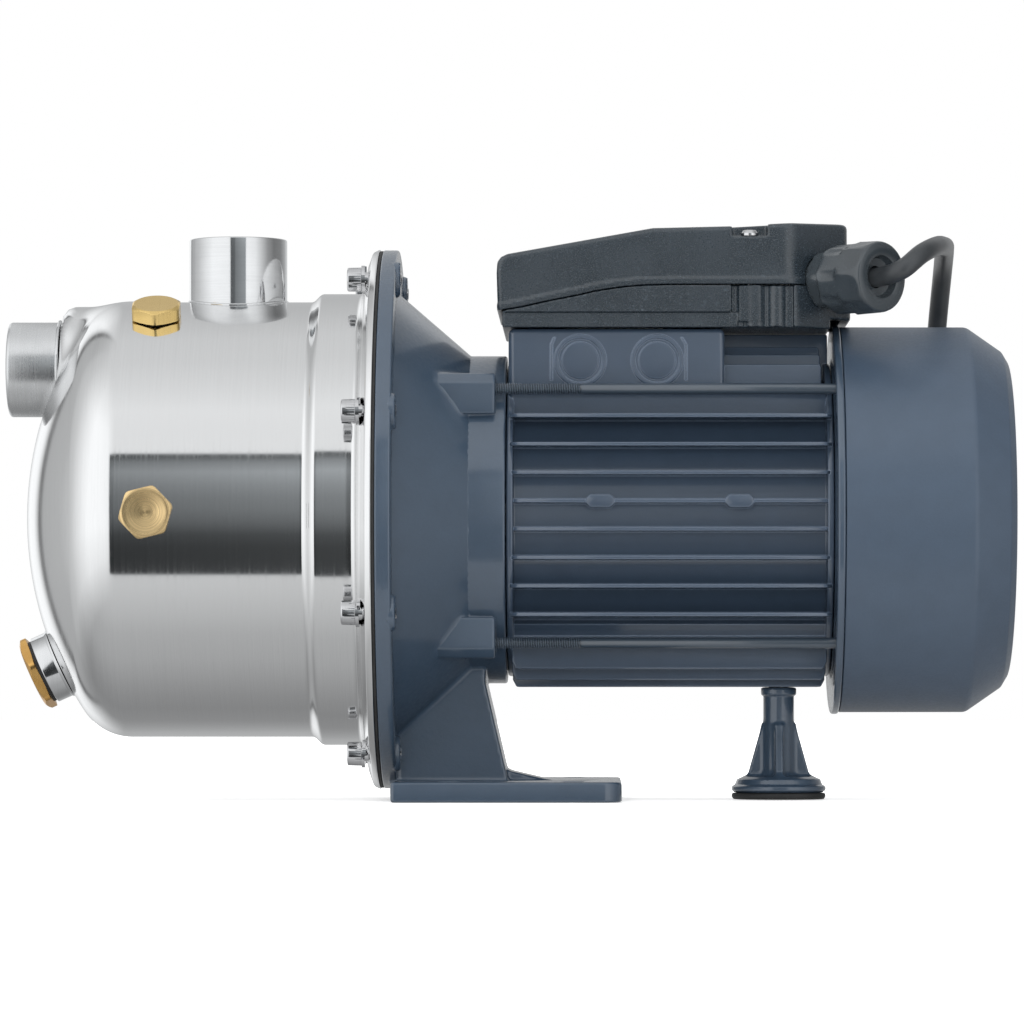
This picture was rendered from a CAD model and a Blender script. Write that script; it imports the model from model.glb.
import math

import bmesh
import bpy
import numpy as np
from mathutils import Matrix, Vector


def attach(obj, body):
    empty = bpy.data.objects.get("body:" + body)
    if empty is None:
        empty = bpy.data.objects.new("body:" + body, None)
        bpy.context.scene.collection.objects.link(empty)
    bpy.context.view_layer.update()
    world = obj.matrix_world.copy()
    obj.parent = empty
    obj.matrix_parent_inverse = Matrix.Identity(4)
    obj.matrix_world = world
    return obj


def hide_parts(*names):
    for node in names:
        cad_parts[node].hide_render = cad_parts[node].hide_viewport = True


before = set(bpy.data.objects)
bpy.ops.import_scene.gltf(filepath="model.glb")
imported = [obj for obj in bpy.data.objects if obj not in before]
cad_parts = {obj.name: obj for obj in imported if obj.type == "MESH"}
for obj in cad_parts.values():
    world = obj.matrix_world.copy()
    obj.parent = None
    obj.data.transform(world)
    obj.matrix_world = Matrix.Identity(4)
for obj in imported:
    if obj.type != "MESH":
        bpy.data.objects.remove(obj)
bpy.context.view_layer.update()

MM = 0.001
AZ = 120.0  # shaft height, mm
PI = math.pi
rad = math.radians
COL = bpy.context.scene.collection


# ------------------------------------------------------------------ shader kit
class Mat:
    """A small helper around a node tree, so that each finish reads top to bottom."""

    def __init__(self, name, base=(0.5, 0.5, 0.5), metallic=0.0, rough=0.5):
        self.m = bpy.data.materials.new(name)
        self.m.use_nodes = True
        self.t = self.m.node_tree
        self.b = next(n for n in self.t.nodes if n.type == "BSDF_PRINCIPLED")
        self.b.inputs["Base Color"].default_value = (*base, 1)
        self.b.inputs["Metallic"].default_value = metallic
        self.b.inputs["Roughness"].default_value = rough
        self._coord = None
        self.m.diffuse_color = (*base, 1)
        self.m.metallic = metallic
        self.m.roughness = rough

    def n(self, kind, **values):
        node = self.t.nodes.new(kind)
        for k, v in values.items():
            if hasattr(node, k):
                setattr(node, k, v)
            else:
                node.inputs[k.replace("_", " ")].default_value = v
        return node

    def link(self, a, b):
        self.t.links.new(a, b)
        return b

    def val(self, socket, v):
        if isinstance(v, (int, float)):
            socket.default_value = v
        else:
            self.link(v, socket)

    def coord(self):
        if self._coord is None:
            self._coord = self.n("ShaderNodeTexCoord").outputs["Object"]
        return self._coord

    def math(self, op, a, b=0.0, c=None, clamp=False):
        node = self.n("ShaderNodeMath", operation=op)
        node.use_clamp = clamp
        self.val(node.inputs[0], a)
        self.val(node.inputs[1], b)
        if c is not None:
            self.val(node.inputs[2], c)
        return node.outputs[0]

    def xyz(self, v=None):
        node = self.n("ShaderNodeSeparateXYZ")
        self.link(v or self.coord(), node.inputs[0])
        return node.outputs

    def vec(self, x, y, z):
        node = self.n("ShaderNodeCombineXYZ")
        for i, v in enumerate((x, y, z)):
            self.val(node.inputs[i], v)
        return node.outputs[0]

    def noise(self, scale, vector=None, detail=4.0, rough=0.55):
        node = self.n("ShaderNodeTexNoise")
        node.inputs["Scale"].default_value = scale
        node.inputs["Detail"].default_value = detail
        node.inputs["Roughness"].default_value = rough
        self.link(vector or self.coord(), node.inputs["Vector"])
        return node.outputs["Fac"]

    def ramp(self, fac, lo, hi, a, b):
        node = self.n("ShaderNodeMapRange")
        node.inputs["From Min"].default_value = lo
        node.inputs["From Max"].default_value = hi
        node.inputs["To Min"].default_value = a
        node.inputs["To Max"].default_value = b
        self.link(fac, node.inputs["Value"])
        return node.outputs["Result"]

    def mix(self, fac, a, b):
        node = self.n("ShaderNodeMix", data_type="RGBA")
        self.val(node.inputs[0], fac)
        for i, v in ((6, a), (7, b)):
            if isinstance(v, (tuple, list)):
                node.inputs[i].default_value = (*v[:3], 1)
            else:
                self.link(v, node.inputs[i])
        return node.outputs[2]

    def bump(self, height, strength, distance, normal=None):
        node = self.n("ShaderNodeBump")
        node.inputs["Strength"].default_value = strength
        node.inputs["Distance"].default_value = distance
        self.link(height, node.inputs["Height"])
        if normal is not None:
            self.link(normal, node.inputs["Normal"])
        return node.outputs["Normal"]

    def edge(self, radius=0.0008):
        """1 on sharp outer edges, 0 on flats, from the difference between the true and the bevelled normal."""
        bev = self.n("ShaderNodeBevel", samples=4)
        bev.inputs["Radius"].default_value = radius
        geo = self.n("ShaderNodeNewGeometry")
        dot = self.n("ShaderNodeVectorMath", operation="DOT_PRODUCT")
        self.link(bev.outputs[0], dot.inputs[0])
        self.link(geo.outputs["Normal"], dot.inputs[1])
        return self.ramp(dot.outputs["Value"], 0.99, 0.85, 0.0, 1.0)

    def set(self, key, socket):
        self.val(self.b.inputs[key], socket)


def around_shaft(m, per_turn, along, other):
    """A coordinate that runs round the shaft axis, for marks left by spinning the part."""
    x, y, z = m.xyz()[:3]
    zz = m.math("SUBTRACT", z, AZ * MM)
    ang = m.math("ARCTAN2", zz, y)
    rr = m.math("SQRT", m.math("ADD", m.math("MULTIPLY", y, y), m.math("MULTIPLY", zz, zz)))
    return m.vec(
        m.math("MULTIPLY", x, along), m.math("MULTIPLY", ang, per_turn), m.math("MULTIPLY", rr, other)
    )


def polished_sheet():
    m = Mat("polished_stainless", (0.78, 0.775, 0.765), 1.0, 0.12)
    v = around_shaft(m, 1.1, 5200.0, 0.0)
    fine = m.noise(1.0, v, 4.0, 0.75)
    v2 = around_shaft(m, 0.6, 900.0, 0.0)
    band = m.noise(1.0, v2, 3.0, 0.6)
    cloud = m.noise(14.0, None, 3.0)
    fleck = m.noise(1.0, around_shaft(m, 9.0, 2600.0, 900.0), 2.0, 0.5)
    rough = m.math("ADD", m.ramp(fine, 0.42, 0.7, 0.05, 0.13), m.ramp(cloud, 0.3, 0.7, -0.006, 0.01))
    rough = m.math("ADD", rough, m.ramp(band, 0.5, 0.7, 0.0, 0.05))
    m.set("Roughness", rough)
    tone = m.mix(m.ramp(fine, 0.32, 0.68, 0.0, 1.0), (0.745, 0.745, 0.745), (0.80, 0.80, 0.80))
    tone = m.mix(m.ramp(fleck, 0.6, 0.8, 0.0, 0.35), tone, (0.68, 0.68, 0.68))
    m.link(tone, m.b.inputs["Base Color"])
    m.link(m.bump(fine, 0.035, 0.00010), m.b.inputs["Normal"])
    return m.m


def turned_metal(name, base, axis="X", rough=(0.14, 0.32), centre=None, tint=None, marks=0.05):
    """Turned stock: rings round the given axis, small scratches, soft stain. With a centre, the rings run round it on a face."""
    m = Mat(name, base, 1.0, 0.25)
    x, y, z = m.xyz()[:3]
    if centre is not None:
        u = m.math("SUBTRACT", x, centre[0] * MM)
        w = m.math("SUBTRACT", z, centre[2] * MM)
        r = m.math("SQRT", m.math("ADD", m.math("MULTIPLY", u, u), m.math("MULTIPLY", w, w)))
        rings = m.noise(1.0, m.vec(m.math("MULTIPLY", r, 1900.0), m.math("MULTIPLY", m.math("ARCTAN2", w, u), 0.12), 0.0), 2.0, 0.5)
    elif axis == "Z":
        rings = m.noise(1.0, m.vec(m.math("MULTIPLY", x, 30.0), m.math("MULTIPLY", y, 30.0), m.math("MULTIPLY", z, 2600.0)), 4.0, 0.6)
    else:
        rings = m.noise(1.0, m.vec(m.math("MULTIPLY", x, 2200.0), m.math("MULTIPLY", y, 40.0), m.math("MULTIPLY", z, 40.0)), 4.0, 0.6)
    cloud = m.noise(45.0, None, 3.0)
    fleck = m.noise(900.0, None, 2.0)
    m.set("Roughness", m.math("ADD", m.ramp(rings, 0.3, 0.7, *rough), m.ramp(fleck, 0.5, 0.75, 0.0, 0.04)))
    dark = tuple(c * 0.88 for c in base) if tint is None else tint
    col = m.mix(m.ramp(cloud, 0.35, 0.7, 0.0, 1.0), base, dark)
    col = m.mix(m.ramp(rings, 0.42, 0.66, 0.0, 0.3 if centre is None else 0.9), col, tuple(c * (0.8 if centre is None else 0.62) for c in base))
    m.link(col, m.b.inputs["Base Color"])
    m.link(m.bump(rings, marks, 0.00012), m.b.inputs["Normal"])
    if centre is not None:
        m.b.inputs["Anisotropic"].default_value = 0.9
        m.link(m.vec(m.math("DIVIDE", w, r), 0.0, m.math("DIVIDE", m.math("MULTIPLY", u, -1.0), r)), m.b.inputs["Tangent"])
    return m.m


def painted_casting(name, base, grain=0.35, rough=(0.36, 0.5), wear=0.25, scale=650.0, coat=0.9, root=None):
    """Semi-gloss paint over sand-cast or extruded metal: orange peel, specks, lighter edges."""
    m = Mat(name, base, 0.0, 0.42)
    peel = m.noise(scale, None, 3.0, 0.6)
    lump = m.noise(110.0, None, 3.0, 0.5)
    speck = m.noise(2400.0, None, 2.0, 0.5)
    light = tuple(min(1.0, c * 1.04) for c in base)
    dark = tuple(c * 0.95 for c in base)
    col = m.mix(m.ramp(lump, 0.3, 0.7, 0.0, 1.0), dark, light)
    col = m.mix(m.ramp(speck, 0.62, 0.74, 0.0, 0.35), col, tuple(c * 1.5 for c in base))
    col = m.mix(m.math("MULTIPLY", m.edge(0.0009), wear), col, tuple(min(1.0, c * 2.6 + 0.06) for c in base))
    if root is not None:
        # paint lies darker in the roots of a thread that runs along x
        y, z = m.xyz()[1:3]
        rr = m.math("SQRT", m.math("ADD", m.math("MULTIPLY", y, y), m.math("MULTIPLY", z, z)))
        col = m.mix(m.ramp(rr, *root, 0.85, 0.0), col, (0.004, 0.006, 0.009))
    m.link(col, m.b.inputs["Base Color"])
    m.set("Roughness", m.math("ADD", m.ramp(peel, 0.3, 0.7, *rough), m.ramp(speck, 0.45, 0.75, 0.0, 0.05)))
    nrm = m.bump(peel, grain, 0.0003)
    nrm = m.bump(lump, 0.05, 0.0012, nrm)
    m.link(nrm, m.b.inputs["Normal"])
    m.b.inputs["Specular IOR Level"].default_value = 0.5
    m.b.inputs["Coat Weight"].default_value = coat
    m.b.inputs["Coat Roughness"].default_value = 0.13 if coat > 0.5 else 0.35
    m.b.inputs["Coat IOR"].default_value = 1.65
    m.link(m.bump(peel, 0.05, 0.0003), m.b.inputs["Coat Normal"])
    return m.m


def grained_plastic(name, base, rough=(0.42, 0.58), grain=0.55, scale=1500.0, wear=0.12, grit_part=0.0):
    m = Mat(name, base, 0.0, 0.5)
    g = m.noise(scale, None, 3.0, 0.65)
    soft = m.noise(45.0, None, 3.0)
    col = m.mix(m.ramp(soft, 0.3, 0.7, 0.0, 1.0), tuple(c * 0.88 for c in base), tuple(c * 1.12 for c in base))
    col = m.mix(m.math("MULTIPLY", m.edge(0.0007), wear), col, tuple(min(1, c * 2 + 0.03) for c in base))
    grit = m.noise(scale * 0.8, None, 1.0, 0.5)
    col = m.mix(m.ramp(grit, 0.6, 0.78, 0.0, grit_part), col, tuple(c * 2.8 + 0.015 for c in base))
    m.link(col, m.b.inputs["Base Color"])
    m.set("Roughness", m.math("ADD", m.ramp(g, 0.3, 0.7, *rough), m.ramp(soft, 0.3, 0.7, -0.03, 0.03)))
    m.link(m.bump(g, grain, 0.0002), m.b.inputs["Normal"])
    m.b.inputs["Specular IOR Level"].default_value = 0.85
    return m.m


def rubber(name, base, rough=(0.55, 0.8), grain=0.25):
    m = Mat(name, base, 0.0, 0.7)
    g = m.noise(2200.0, None, 3.0, 0.6)
    dust = m.noise(70.0, None, 4.0, 0.6)
    col = m.mix(m.ramp(dust, 0.4, 0.75, 0.0, 0.5), base, tuple(c * 1.6 + 0.01 for c in base))
    m.link(col, m.b.inputs["Base Color"])
    m.set("Roughness", m.ramp(g, 0.3, 0.7, *rough))
    m.link(m.bump(g, grain, 0.0001), m.b.inputs["Normal"])
    return m.m


PAINT = (0.028, 0.047, 0.074)
M = {
    "polished_stainless": polished_sheet(),
    "turned_stainless": turned_metal("turned_stainless", (0.74, 0.745, 0.75), "X", (0.05, 0.12), marks=0.03),
    "turned_stainless_soft": turned_metal("turned_stainless_soft", (0.76, 0.765, 0.77), "X", (0.24, 0.32), marks=0.04),
    "turned_stainless_up": turned_metal("turned_stainless_up", (0.76, 0.765, 0.77), "Z", (0.04, 0.09), marks=0.025),
    "cast_stainless": turned_metal("cast_stainless", (0.55, 0.55, 0.54), "X", (0.3, 0.45), marks=0.15),
    "brass": turned_metal("brass", (0.86, 0.62, 0.25), "X", (0.17, 0.28), tint=(0.78, 0.55, 0.20), marks=0.04),
    "brass_face": turned_metal("brass_face", (0.90, 0.66, 0.34), "X", (0.24, 0.36), (-148.3, 0, 120.0), (0.84, 0.61, 0.31), 0.05),
    "brass_orange": turned_metal("brass_orange", (0.82, 0.50, 0.17), "X", (0.2, 0.34), tint=(0.62, 0.34, 0.10), marks=0.05),
    "casting_paint": painted_casting("casting_paint", PAINT, wear=0.4),
    "aluminium_paint": painted_casting("aluminium_paint", (0.030, 0.047, 0.074), 0.25, (0.34, 0.46), 1.0, 900.0),
    "rod_paint": painted_casting("rod_paint", (0.034, 0.050, 0.070), 0.12, (0.3, 0.42), 0.2, 1400.0, root=(0.0017, 0.0025)),
    "cover_plastic": painted_casting("cover_plastic", (0.034, 0.054, 0.084), 0.32, (0.40, 0.52), 0.12, 800.0, 0.3),
    "box_plastic": grained_plastic("box_plastic", (0.016, 0.023, 0.030), (0.22, 0.36), 0.5, 1500.0, 0.5, 0.6),
    "gland_nylon": grained_plastic("gland_nylon", (0.028, 0.035, 0.041), (0.2, 0.28), 0.04, 2600.0, 0.5),
    "cable_rubber": rubber("cable_rubber", (0.023, 0.026, 0.029), (0.3, 0.42), 0.08),
    "seal_rubber": rubber("seal_rubber", (0.012, 0.012, 0.012)),
    "bright_steel": turned_metal("bright_steel", (0.72, 0.72, 0.73), "X", (0.06, 0.13), marks=0.02),
    "shaft_steel": turned_metal("shaft_steel", (0.56, 0.56, 0.56), "X", (0.12, 0.24)),
    "bearing_steel": turned_metal("bearing_steel", (0.66, 0.66, 0.67), "X", (0.06, 0.14)),
    "laminated_iron": turned_metal("laminated_iron", (0.30, 0.29, 0.28), "X", (0.4, 0.6)),
    "winding_copper": turned_metal("winding_copper", (0.62, 0.28, 0.12), "Z", (0.28, 0.42)),
    "dark_polymer": grained_plastic("dark_polymer", (0.035, 0.035, 0.038)),
    "carbon": grained_plastic("carbon", (0.02, 0.02, 0.02), (0.2, 0.3), 0.1),
    "light_polymer": grained_plastic("light_polymer", (0.62, 0.62, 0.58), (0.35, 0.5), 0.2),
}


# ------------------------------------------------------------------ mesh kit (millimetres in, metres out)
def mesh(name, V, faces, mat, sharp=32.0, normals=None):
    V = np.asarray(V, np.float64)
    me = bpy.data.meshes.new(name)
    groups = faces if isinstance(faces, list) else [faces]
    groups = [np.asarray(g, np.int32) for g in groups if len(g)]
    total = sum(len(g) for g in groups)
    loops = sum(g.size for g in groups)
    me.vertices.add(len(V))
    me.vertices.foreach_set("co", (V * MM).astype(np.float32).ravel())
    me.loops.add(loops)
    me.loops.foreach_set("vertex_index", np.concatenate([g.ravel() for g in groups]))
    me.polygons.add(total)
    start, at = [], 0
    for g in groups:
        start.append(at + np.arange(len(g)) * g.shape[1])
        at += g.size
    me.polygons.foreach_set("loop_start", np.concatenate(start).astype(np.int32))
    me.polygons.foreach_set("use_smooth", np.ones(total, bool))
    me.update(calc_edges=True)
    me.validate()
    if normals is None:
        me.set_sharp_from_angle(angle=rad(sharp))
    else:
        me.normals_split_custom_set_from_vertices(np.asarray(normals, np.float32))
    me.materials.append(mat)
    ob = bpy.data.objects.new(name, me)
    COL.objects.link(ob)
    return ob


def apply_mods(ob, sharp=None):
    dg = bpy.context.evaluated_depsgraph_get()
    me = bpy.data.meshes.new_from_object(ob.evaluated_get(dg))
    old = ob.data
    ob.modifiers.clear()
    ob.data = me
    me.name = ob.name
    bpy.data.meshes.remove(old)
    if sharp is not None:
        me.polygons.foreach_set("use_smooth", np.ones(len(me.polygons), bool))
        me.set_sharp_from_angle(angle=rad(sharp))
    return ob


def boolean(ob, others, op="DIFFERENCE", sharp=32.0, keep=False):
    for o in others:
        mod = ob.modifiers.new("b", "BOOLEAN")
        mod.operation = op
        mod.solver = "MANIFOLD"
        mod.object = o
    bpy.context.view_layer.update()
    apply_mods(ob, sharp)
    if not keep:
        for o in others:
            bpy.data.objects.remove(o, do_unlink=True)
    return ob


def bevel(ob, width, segments=3, angle=30.0, sharp=40.0):
    mod = ob.modifiers.new("bevel", "BEVEL")
    mod.width = width * MM
    mod.segments = segments
    mod.limit_method = "ANGLE"
    mod.angle_limit = rad(angle)
    mod.harden_normals = False
    mod.miter_outer = "MITER_ARC"
    bpy.context.view_layer.update()
    return apply_mods(ob, sharp)


def merge(obs, name):
    """Joins objects into one mesh object (each keeps its own closed surface)."""
    bm = bmesh.new()
    mats = []
    for o in obs:
        me = o.data
        off = len(mats)
        for mt in me.materials:
            mats.append(mt)
        tmp = me.copy()
        tmp.transform(o.matrix_world)
        first = len(bm.faces)
        bm.from_mesh(tmp)
        bm.faces.ensure_lookup_table()
        for f in bm.faces[first:]:
            f.material_index += off
        bpy.data.meshes.remove(tmp)
    uniq = []
    remap = []
    for mt in mats:
        if mt not in uniq:
            uniq.append(mt)
        remap.append(uniq.index(mt))
    for f in bm.faces:
        f.material_index = remap[f.material_index]
    me = bpy.data.meshes.new(name)
    bm.to_mesh(me)
    bm.free()
    for mt in uniq:
        me.materials.append(mt)
    for o in obs:
        bpy.data.objects.remove(o, do_unlink=True)
    ob = bpy.data.objects.new(name, me)
    COL.objects.link(ob)
    return ob


def axes(axis, roll=0.0):
    a = np.array(axis, float)
    a /= np.linalg.norm(a)
    if abs(a[2]) > 0.999:
        u = np.array([1.0, 0, 0])
    else:
        u = np.cross([0, 0, 1.0], a)
    u /= np.linalg.norm(u)
    v = np.cross(a, u)
    c, s = math.cos(roll), math.sin(roll)
    return a, c * u + s * v, -s * u + c * v


ON_SHAFT = (0, 0, AZ)


def revolve(H, R, origin=ON_SHAFT, axis=(1, 0, 0), roll=0.0, closed=False, theta=None):
    """Grid of rows (height, radius), each either a number or one value per angle, as (vertices, faces). Open rows are closed onto the axis."""
    n = len(H)
    m = np.shape(R)[1] if np.ndim(R) == 2 else 96
    H = np.array(H, float)
    R = np.array(R, float)
    if H.ndim == 1:
        H = np.repeat(H[:, None], m, 1)
    if R.ndim == 1:
        R = np.repeat(R[:, None], m, 1)
    th = np.arange(m) * 2 * PI / m if theta is None else theta
    a, u, v = axes(axis, roll)
    P = (
        np.array(origin, float)
        + H[..., None] * a
        + (R * np.cos(th))[..., None] * u
        + (R * np.sin(th))[..., None] * v
    )
    idx = np.arange(n * m).reshape(n, m)
    nxt = np.roll(idx, -1, 1)
    rows = n if closed else n - 1
    q = []
    for i in range(rows):
        j = (i + 1) % n
        q.append(np.stack([idx[i], nxt[i], nxt[j], idx[j]], 1))
    quads = np.concatenate(q)
    V = P.reshape(-1, 3)
    tris = np.zeros((0, 3), int)
    if not closed:
        c0 = np.array(origin, float) + H[0].mean() * a
        c1 = np.array(origin, float) + H[-1].mean() * a
        V = np.vstack([V, c0, c1])
        k = n * m
        tris = np.vstack(
            [np.stack([np.full(m, k), nxt[0], idx[0]], 1), np.stack([np.full(m, k + 1), idx[-1], nxt[-1]], 1)]
        )
    # face outwards
    A, B, C = V[quads[:, 0]], V[quads[:, 1]], V[quads[:, 2]]
    D = V[quads[:, 3]]
    vol = (np.einsum("ij,ij->i", A, np.cross(B, C)) + np.einsum("ij,ij->i", A, np.cross(C, D))).sum()
    if len(tris):
        vol += np.einsum("ij,ij->i", V[tris[:, 0]], np.cross(V[tris[:, 1]], V[tris[:, 2]])).sum()
    if vol < 0:
        quads = quads[:, ::-1]
        tris = tris[:, ::-1]
    return V, [quads, tris]


def rounded(pts, closed=False, steps=4):
    """Polyline of (h, r[, fillet]) with its corners rounded."""
    out = []
    n = len(pts)
    P = [np.array(p[:2], float) for p in pts]
    for i in range(n):
        f = pts[i][2] if len(pts[i]) > 2 else 0.0
        if f <= 0 or (not closed and i in (0, n - 1)):
            out.append(P[i])
            continue
        a, b, c = P[i - 1], P[i], P[(i + 1) % n]
        u, v = a - b, c - b
        lu, lv = np.linalg.norm(u), np.linalg.norm(v)
        u, v = u / lu, v / lv
        ang = math.acos(max(-1, min(1, float(u @ v))))
        if ang > PI - 0.02:
            out.append(b)
            continue
        t = min(f / math.tan(ang / 2), 0.48 * lu, 0.48 * lv)
        r = t * math.tan(ang / 2)
        mid = (u + v) / np.linalg.norm(u + v)
        cen = b + mid * (r / math.sin(ang / 2))
        p0, p1 = b + u * t - cen, b + v * t - cen
        sweep = PI - ang
        for k in range(steps + 1):
            w = k / steps
            s0, s1 = math.sin((1 - w) * sweep) / math.sin(sweep), math.sin(w * sweep) / math.sin(sweep)
            out.append(cen + s0 * p0 + s1 * p1)
    keep = [out[0]]
    for p in out[1:]:
        if np.linalg.norm(p - keep[-1]) > 1e-4:
            keep.append(p)
    return np.array(keep)


def lathe(name, pts, mat, seg=96, origin=ON_SHAFT, axis=(1, 0, 0), closed=None, steps=4, sharp=32.0, roll=0.0):
    """Turned solid from a profile; a profile that doesn't touch the axis closes on itself."""
    closed = pts[0][1] > 0 if closed is None else closed
    P = rounded(pts, closed, steps)
    if not closed:
        P = P[1:-1] if pts[0][1] == 0 and pts[-1][1] == 0 else P
    H, R = P[:, 0], P[:, 1]
    V, F = revolve(H, np.repeat(R[:, None], seg, 1), origin, axis, roll, closed)
    return mesh(name, V, F, mat, sharp)


def cylinder(name, h0, h1, r, origin, axis, seg=48):
    return lathe(name, [(h0, 0), (h0, r), (h1, r), (h1, 0)], M["casting_paint"], seg, origin, axis)


def thread_wave(phase, flat=0.12):
    """0 at the root, 1 at the crest, for phase in turns."""
    w = np.abs(((phase % 1.0) * 2) - 1)
    return np.clip((w - flat) / (1 - 2 * flat), 0, 1)


def hex_radius(theta, flats, soft=0.35):
    """Radius of a hexagon across flats, its corners just broken."""
    a = (theta % (PI / 3)) - PI / 6
    r = flats / 2 / np.cos(a)
    top = flats / 2 / math.cos(PI / 6) - soft
    return np.where(r > top - soft, top - soft + soft * (1 - np.exp(-(r - top + soft) / soft)), r)


def sweep(name, pts, radius, mat, ring=20, closed=False, shape=None):
    """Round bar along a curve of points."""
    P = np.array(pts, float)
    n = len(P)
    T = (np.roll(P, -1, 0) - np.roll(P, 1, 0)) if closed else np.gradient(P, axis=0)
    T /= np.linalg.norm(T, axis=1)[:, None]
    up = np.array([0, 0, 1.0]) if abs(T[0][2]) < 0.9 else np.array([1.0, 0, 0])
    u = np.cross(up, T[0])
    u /= np.linalg.norm(u)
    U = [u]
    for i in range(1, n):
        w = U[-1] - T[i] * (U[-1] @ T[i])
        U.append(w / np.linalg.norm(w))
    U = np.array(U)
    W = np.cross(T, U)
    th = np.arange(ring) * 2 * PI / ring
    R = np.full((n, 1), radius) if np.isscalar(radius) else np.asarray(radius, float)[:, None]
    V = P[:, None] + (R * np.cos(th))[..., None] * U[:, None] + (R * np.sin(th))[..., None] * W[:, None]
    idx = np.arange(n * ring).reshape(n, ring)
    nxt = np.roll(idx, -1, 1)
    q = [np.stack([idx[i], nxt[i], nxt[(i + 1) % n], idx[(i + 1) % n]], 1) for i in range(n if closed else n - 1)]
    V = V.reshape(-1, 3)
    tris = np.zeros((0, 3), int)
    if not closed:
        V = np.vstack([V, P[0], P[-1]])
        k = n * ring
        tris = np.vstack([np.stack([np.full(ring, k), nxt[0], idx[0]], 1), np.stack([np.full(ring, k + 1), idx[-1], nxt[-1]], 1)])
    return mesh(name, V, [np.concatenate(q), tris], mat, 40)


def spline(ctrl, per=12):
    """Catmull-Rom (centripetal) through the points."""
    C = [np.array(c, float) for c in ctrl]
    C = [2 * C[0] - C[1]] + C + [2 * C[-1] - C[-2]]
    out = []
    for i in range(1, len(C) - 2):
        p0, p1, p2, p3 = C[i - 1 : i + 3]
        t0 = 0
        t1 = t0 + np.linalg.norm(p1 - p0) ** 0.5
        t2 = t1 + np.linalg.norm(p2 - p1) ** 0.5
        t3 = t2 + np.linalg.norm(p3 - p2) ** 0.5
        for k in range(per):
            t = t1 + (t2 - t1) * k / per
            a1 = (t1 - t) / (t1 - t0) * p0 + (t - t0) / (t1 - t0) * p1
            a2 = (t2 - t) / (t2 - t1) * p1 + (t - t1) / (t2 - t1) * p2
            a3 = (t3 - t) / (t3 - t2) * p2 + (t - t2) / (t3 - t2) * p3
            b1 = (t2 - t) / (t2 - t0) * a1 + (t - t0) / (t2 - t0) * a2
            b2 = (t3 - t) / (t3 - t1) * a2 + (t - t1) / (t3 - t1) * a3
            out.append((t2 - t) / (t2 - t1) * b1 + (t - t1) / (t2 - t1) * b2)
    out.append(C[-2])
    return np.array(out)


def prism(name, outline, d0, d1, plane, mat):
    """Extruded outline: plane 'XZ' runs along Y, 'XY' along Z, 'YZ' along X."""
    P = np.array(outline, float)
    n = len(P)
    area = 0.5 * np.sum(P[:, 0] * np.roll(P[:, 1], -1) - np.roll(P[:, 0], -1) * P[:, 1])
    if area < 0:
        P = P[::-1]
    put = {
        "XY": lambda a, b, d: np.stack([a, b, np.full_like(a, d)], 1),
        "YZ": lambda a, b, d: np.stack([np.full_like(a, d), a, b], 1),
        "XZ": lambda a, b, d: np.stack([a, np.full_like(a, d), b], 1),
    }[plane]
    V = np.vstack([put(P[:, 0], P[:, 1], d0), put(P[:, 0], P[:, 1], d1)])
    bm = bmesh.new()
    vs = [bm.verts.new(v * MM) for v in V]
    bm.faces.new(vs[:n][::-1])
    bm.faces.new(vs[n:])
    for i in range(n):
        j = (i + 1) % n
        bm.faces.new((vs[i], vs[j], vs[n + j], vs[n + i]))
    bmesh.ops.recalc_face_normals(bm, faces=bm.faces)
    me = bpy.data.meshes.new(name)
    bm.to_mesh(me)
    bm.free()
    me.materials.append(mat)
    me.polygons.foreach_set("use_smooth", np.ones(len(me.polygons), bool))
    me.set_sharp_from_angle(angle=rad(30))
    ob = bpy.data.objects.new(name, me)
    COL.objects.link(ob)
    return ob


def block(name, lo, hi, mat):
    return prism(name, [(lo[0], lo[1]), (hi[0], lo[1]), (hi[0], hi[1]), (lo[0], hi[1])], lo[2], hi[2], "XY", mat)


# ------------------------------------------------------------------ blended solids as distance fields
def smin(a, b, k):
    h = np.maximum(k - np.abs(a - b), 0) / k
    return np.minimum(a, b) - h * h * k * 0.25


def smax(a, b, k):
    return -smin(-a, -b, k)


def box_d(X, Y, Z, lo, hi, r=0.0):
    c = [(a + b) / 2 for a, b in zip(lo, hi)]
    h = [(b - a) / 2 - r for a, b in zip(lo, hi)]
    qx, qy, qz = np.abs(X - c[0]) - h[0], np.abs(Y - c[1]) - h[1], np.abs(Z - c[2]) - h[2]
    out = np.sqrt(np.maximum(qx, 0) ** 2 + np.maximum(qy, 0) ** 2 + np.maximum(qz, 0) ** 2)
    return out + np.minimum(np.maximum(qx, np.maximum(qy, qz)), 0) - r


def poly_d(A, B, pts, r=0.0):
    """Signed distance to a closed polygon in the A-B plane."""
    P = np.array(pts, float)
    n = len(P)
    d = np.full(np.shape(A), 1e9)
    s = np.ones(np.shape(A), bool)
    for i in range(n):
        p, q = P[i], P[(i + 1) % n]
        e = q - p
        wa, wb = A - p[0], B - p[1]
        t = np.clip((wa * e[0] + wb * e[1]) / (e @ e), 0, 1)
        d = np.minimum(d, (wa - e[0] * t) ** 2 + (wb - e[1] * t) ** 2)
        c1, c2, c3 = B >= p[1], B < q[1], e[0] * wb > e[1] * wa
        s ^= (c1 & c2 & c3) | (~c1 & ~c2 & ~c3)
    return np.where(s, 1, -1) * np.sqrt(d) - r


def extrude_d(d2, W, lo, hi, k=0.0):
    w = np.abs(W - (lo + hi) / 2) - (hi - lo) / 2
    if k <= 0:
        return np.maximum(d2, w)
    a, b = d2 + k, w + k
    return np.minimum(np.maximum(a, b), 0) + np.sqrt(np.maximum(a, 0) ** 2 + np.maximum(b, 0) ** 2) - k


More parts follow.
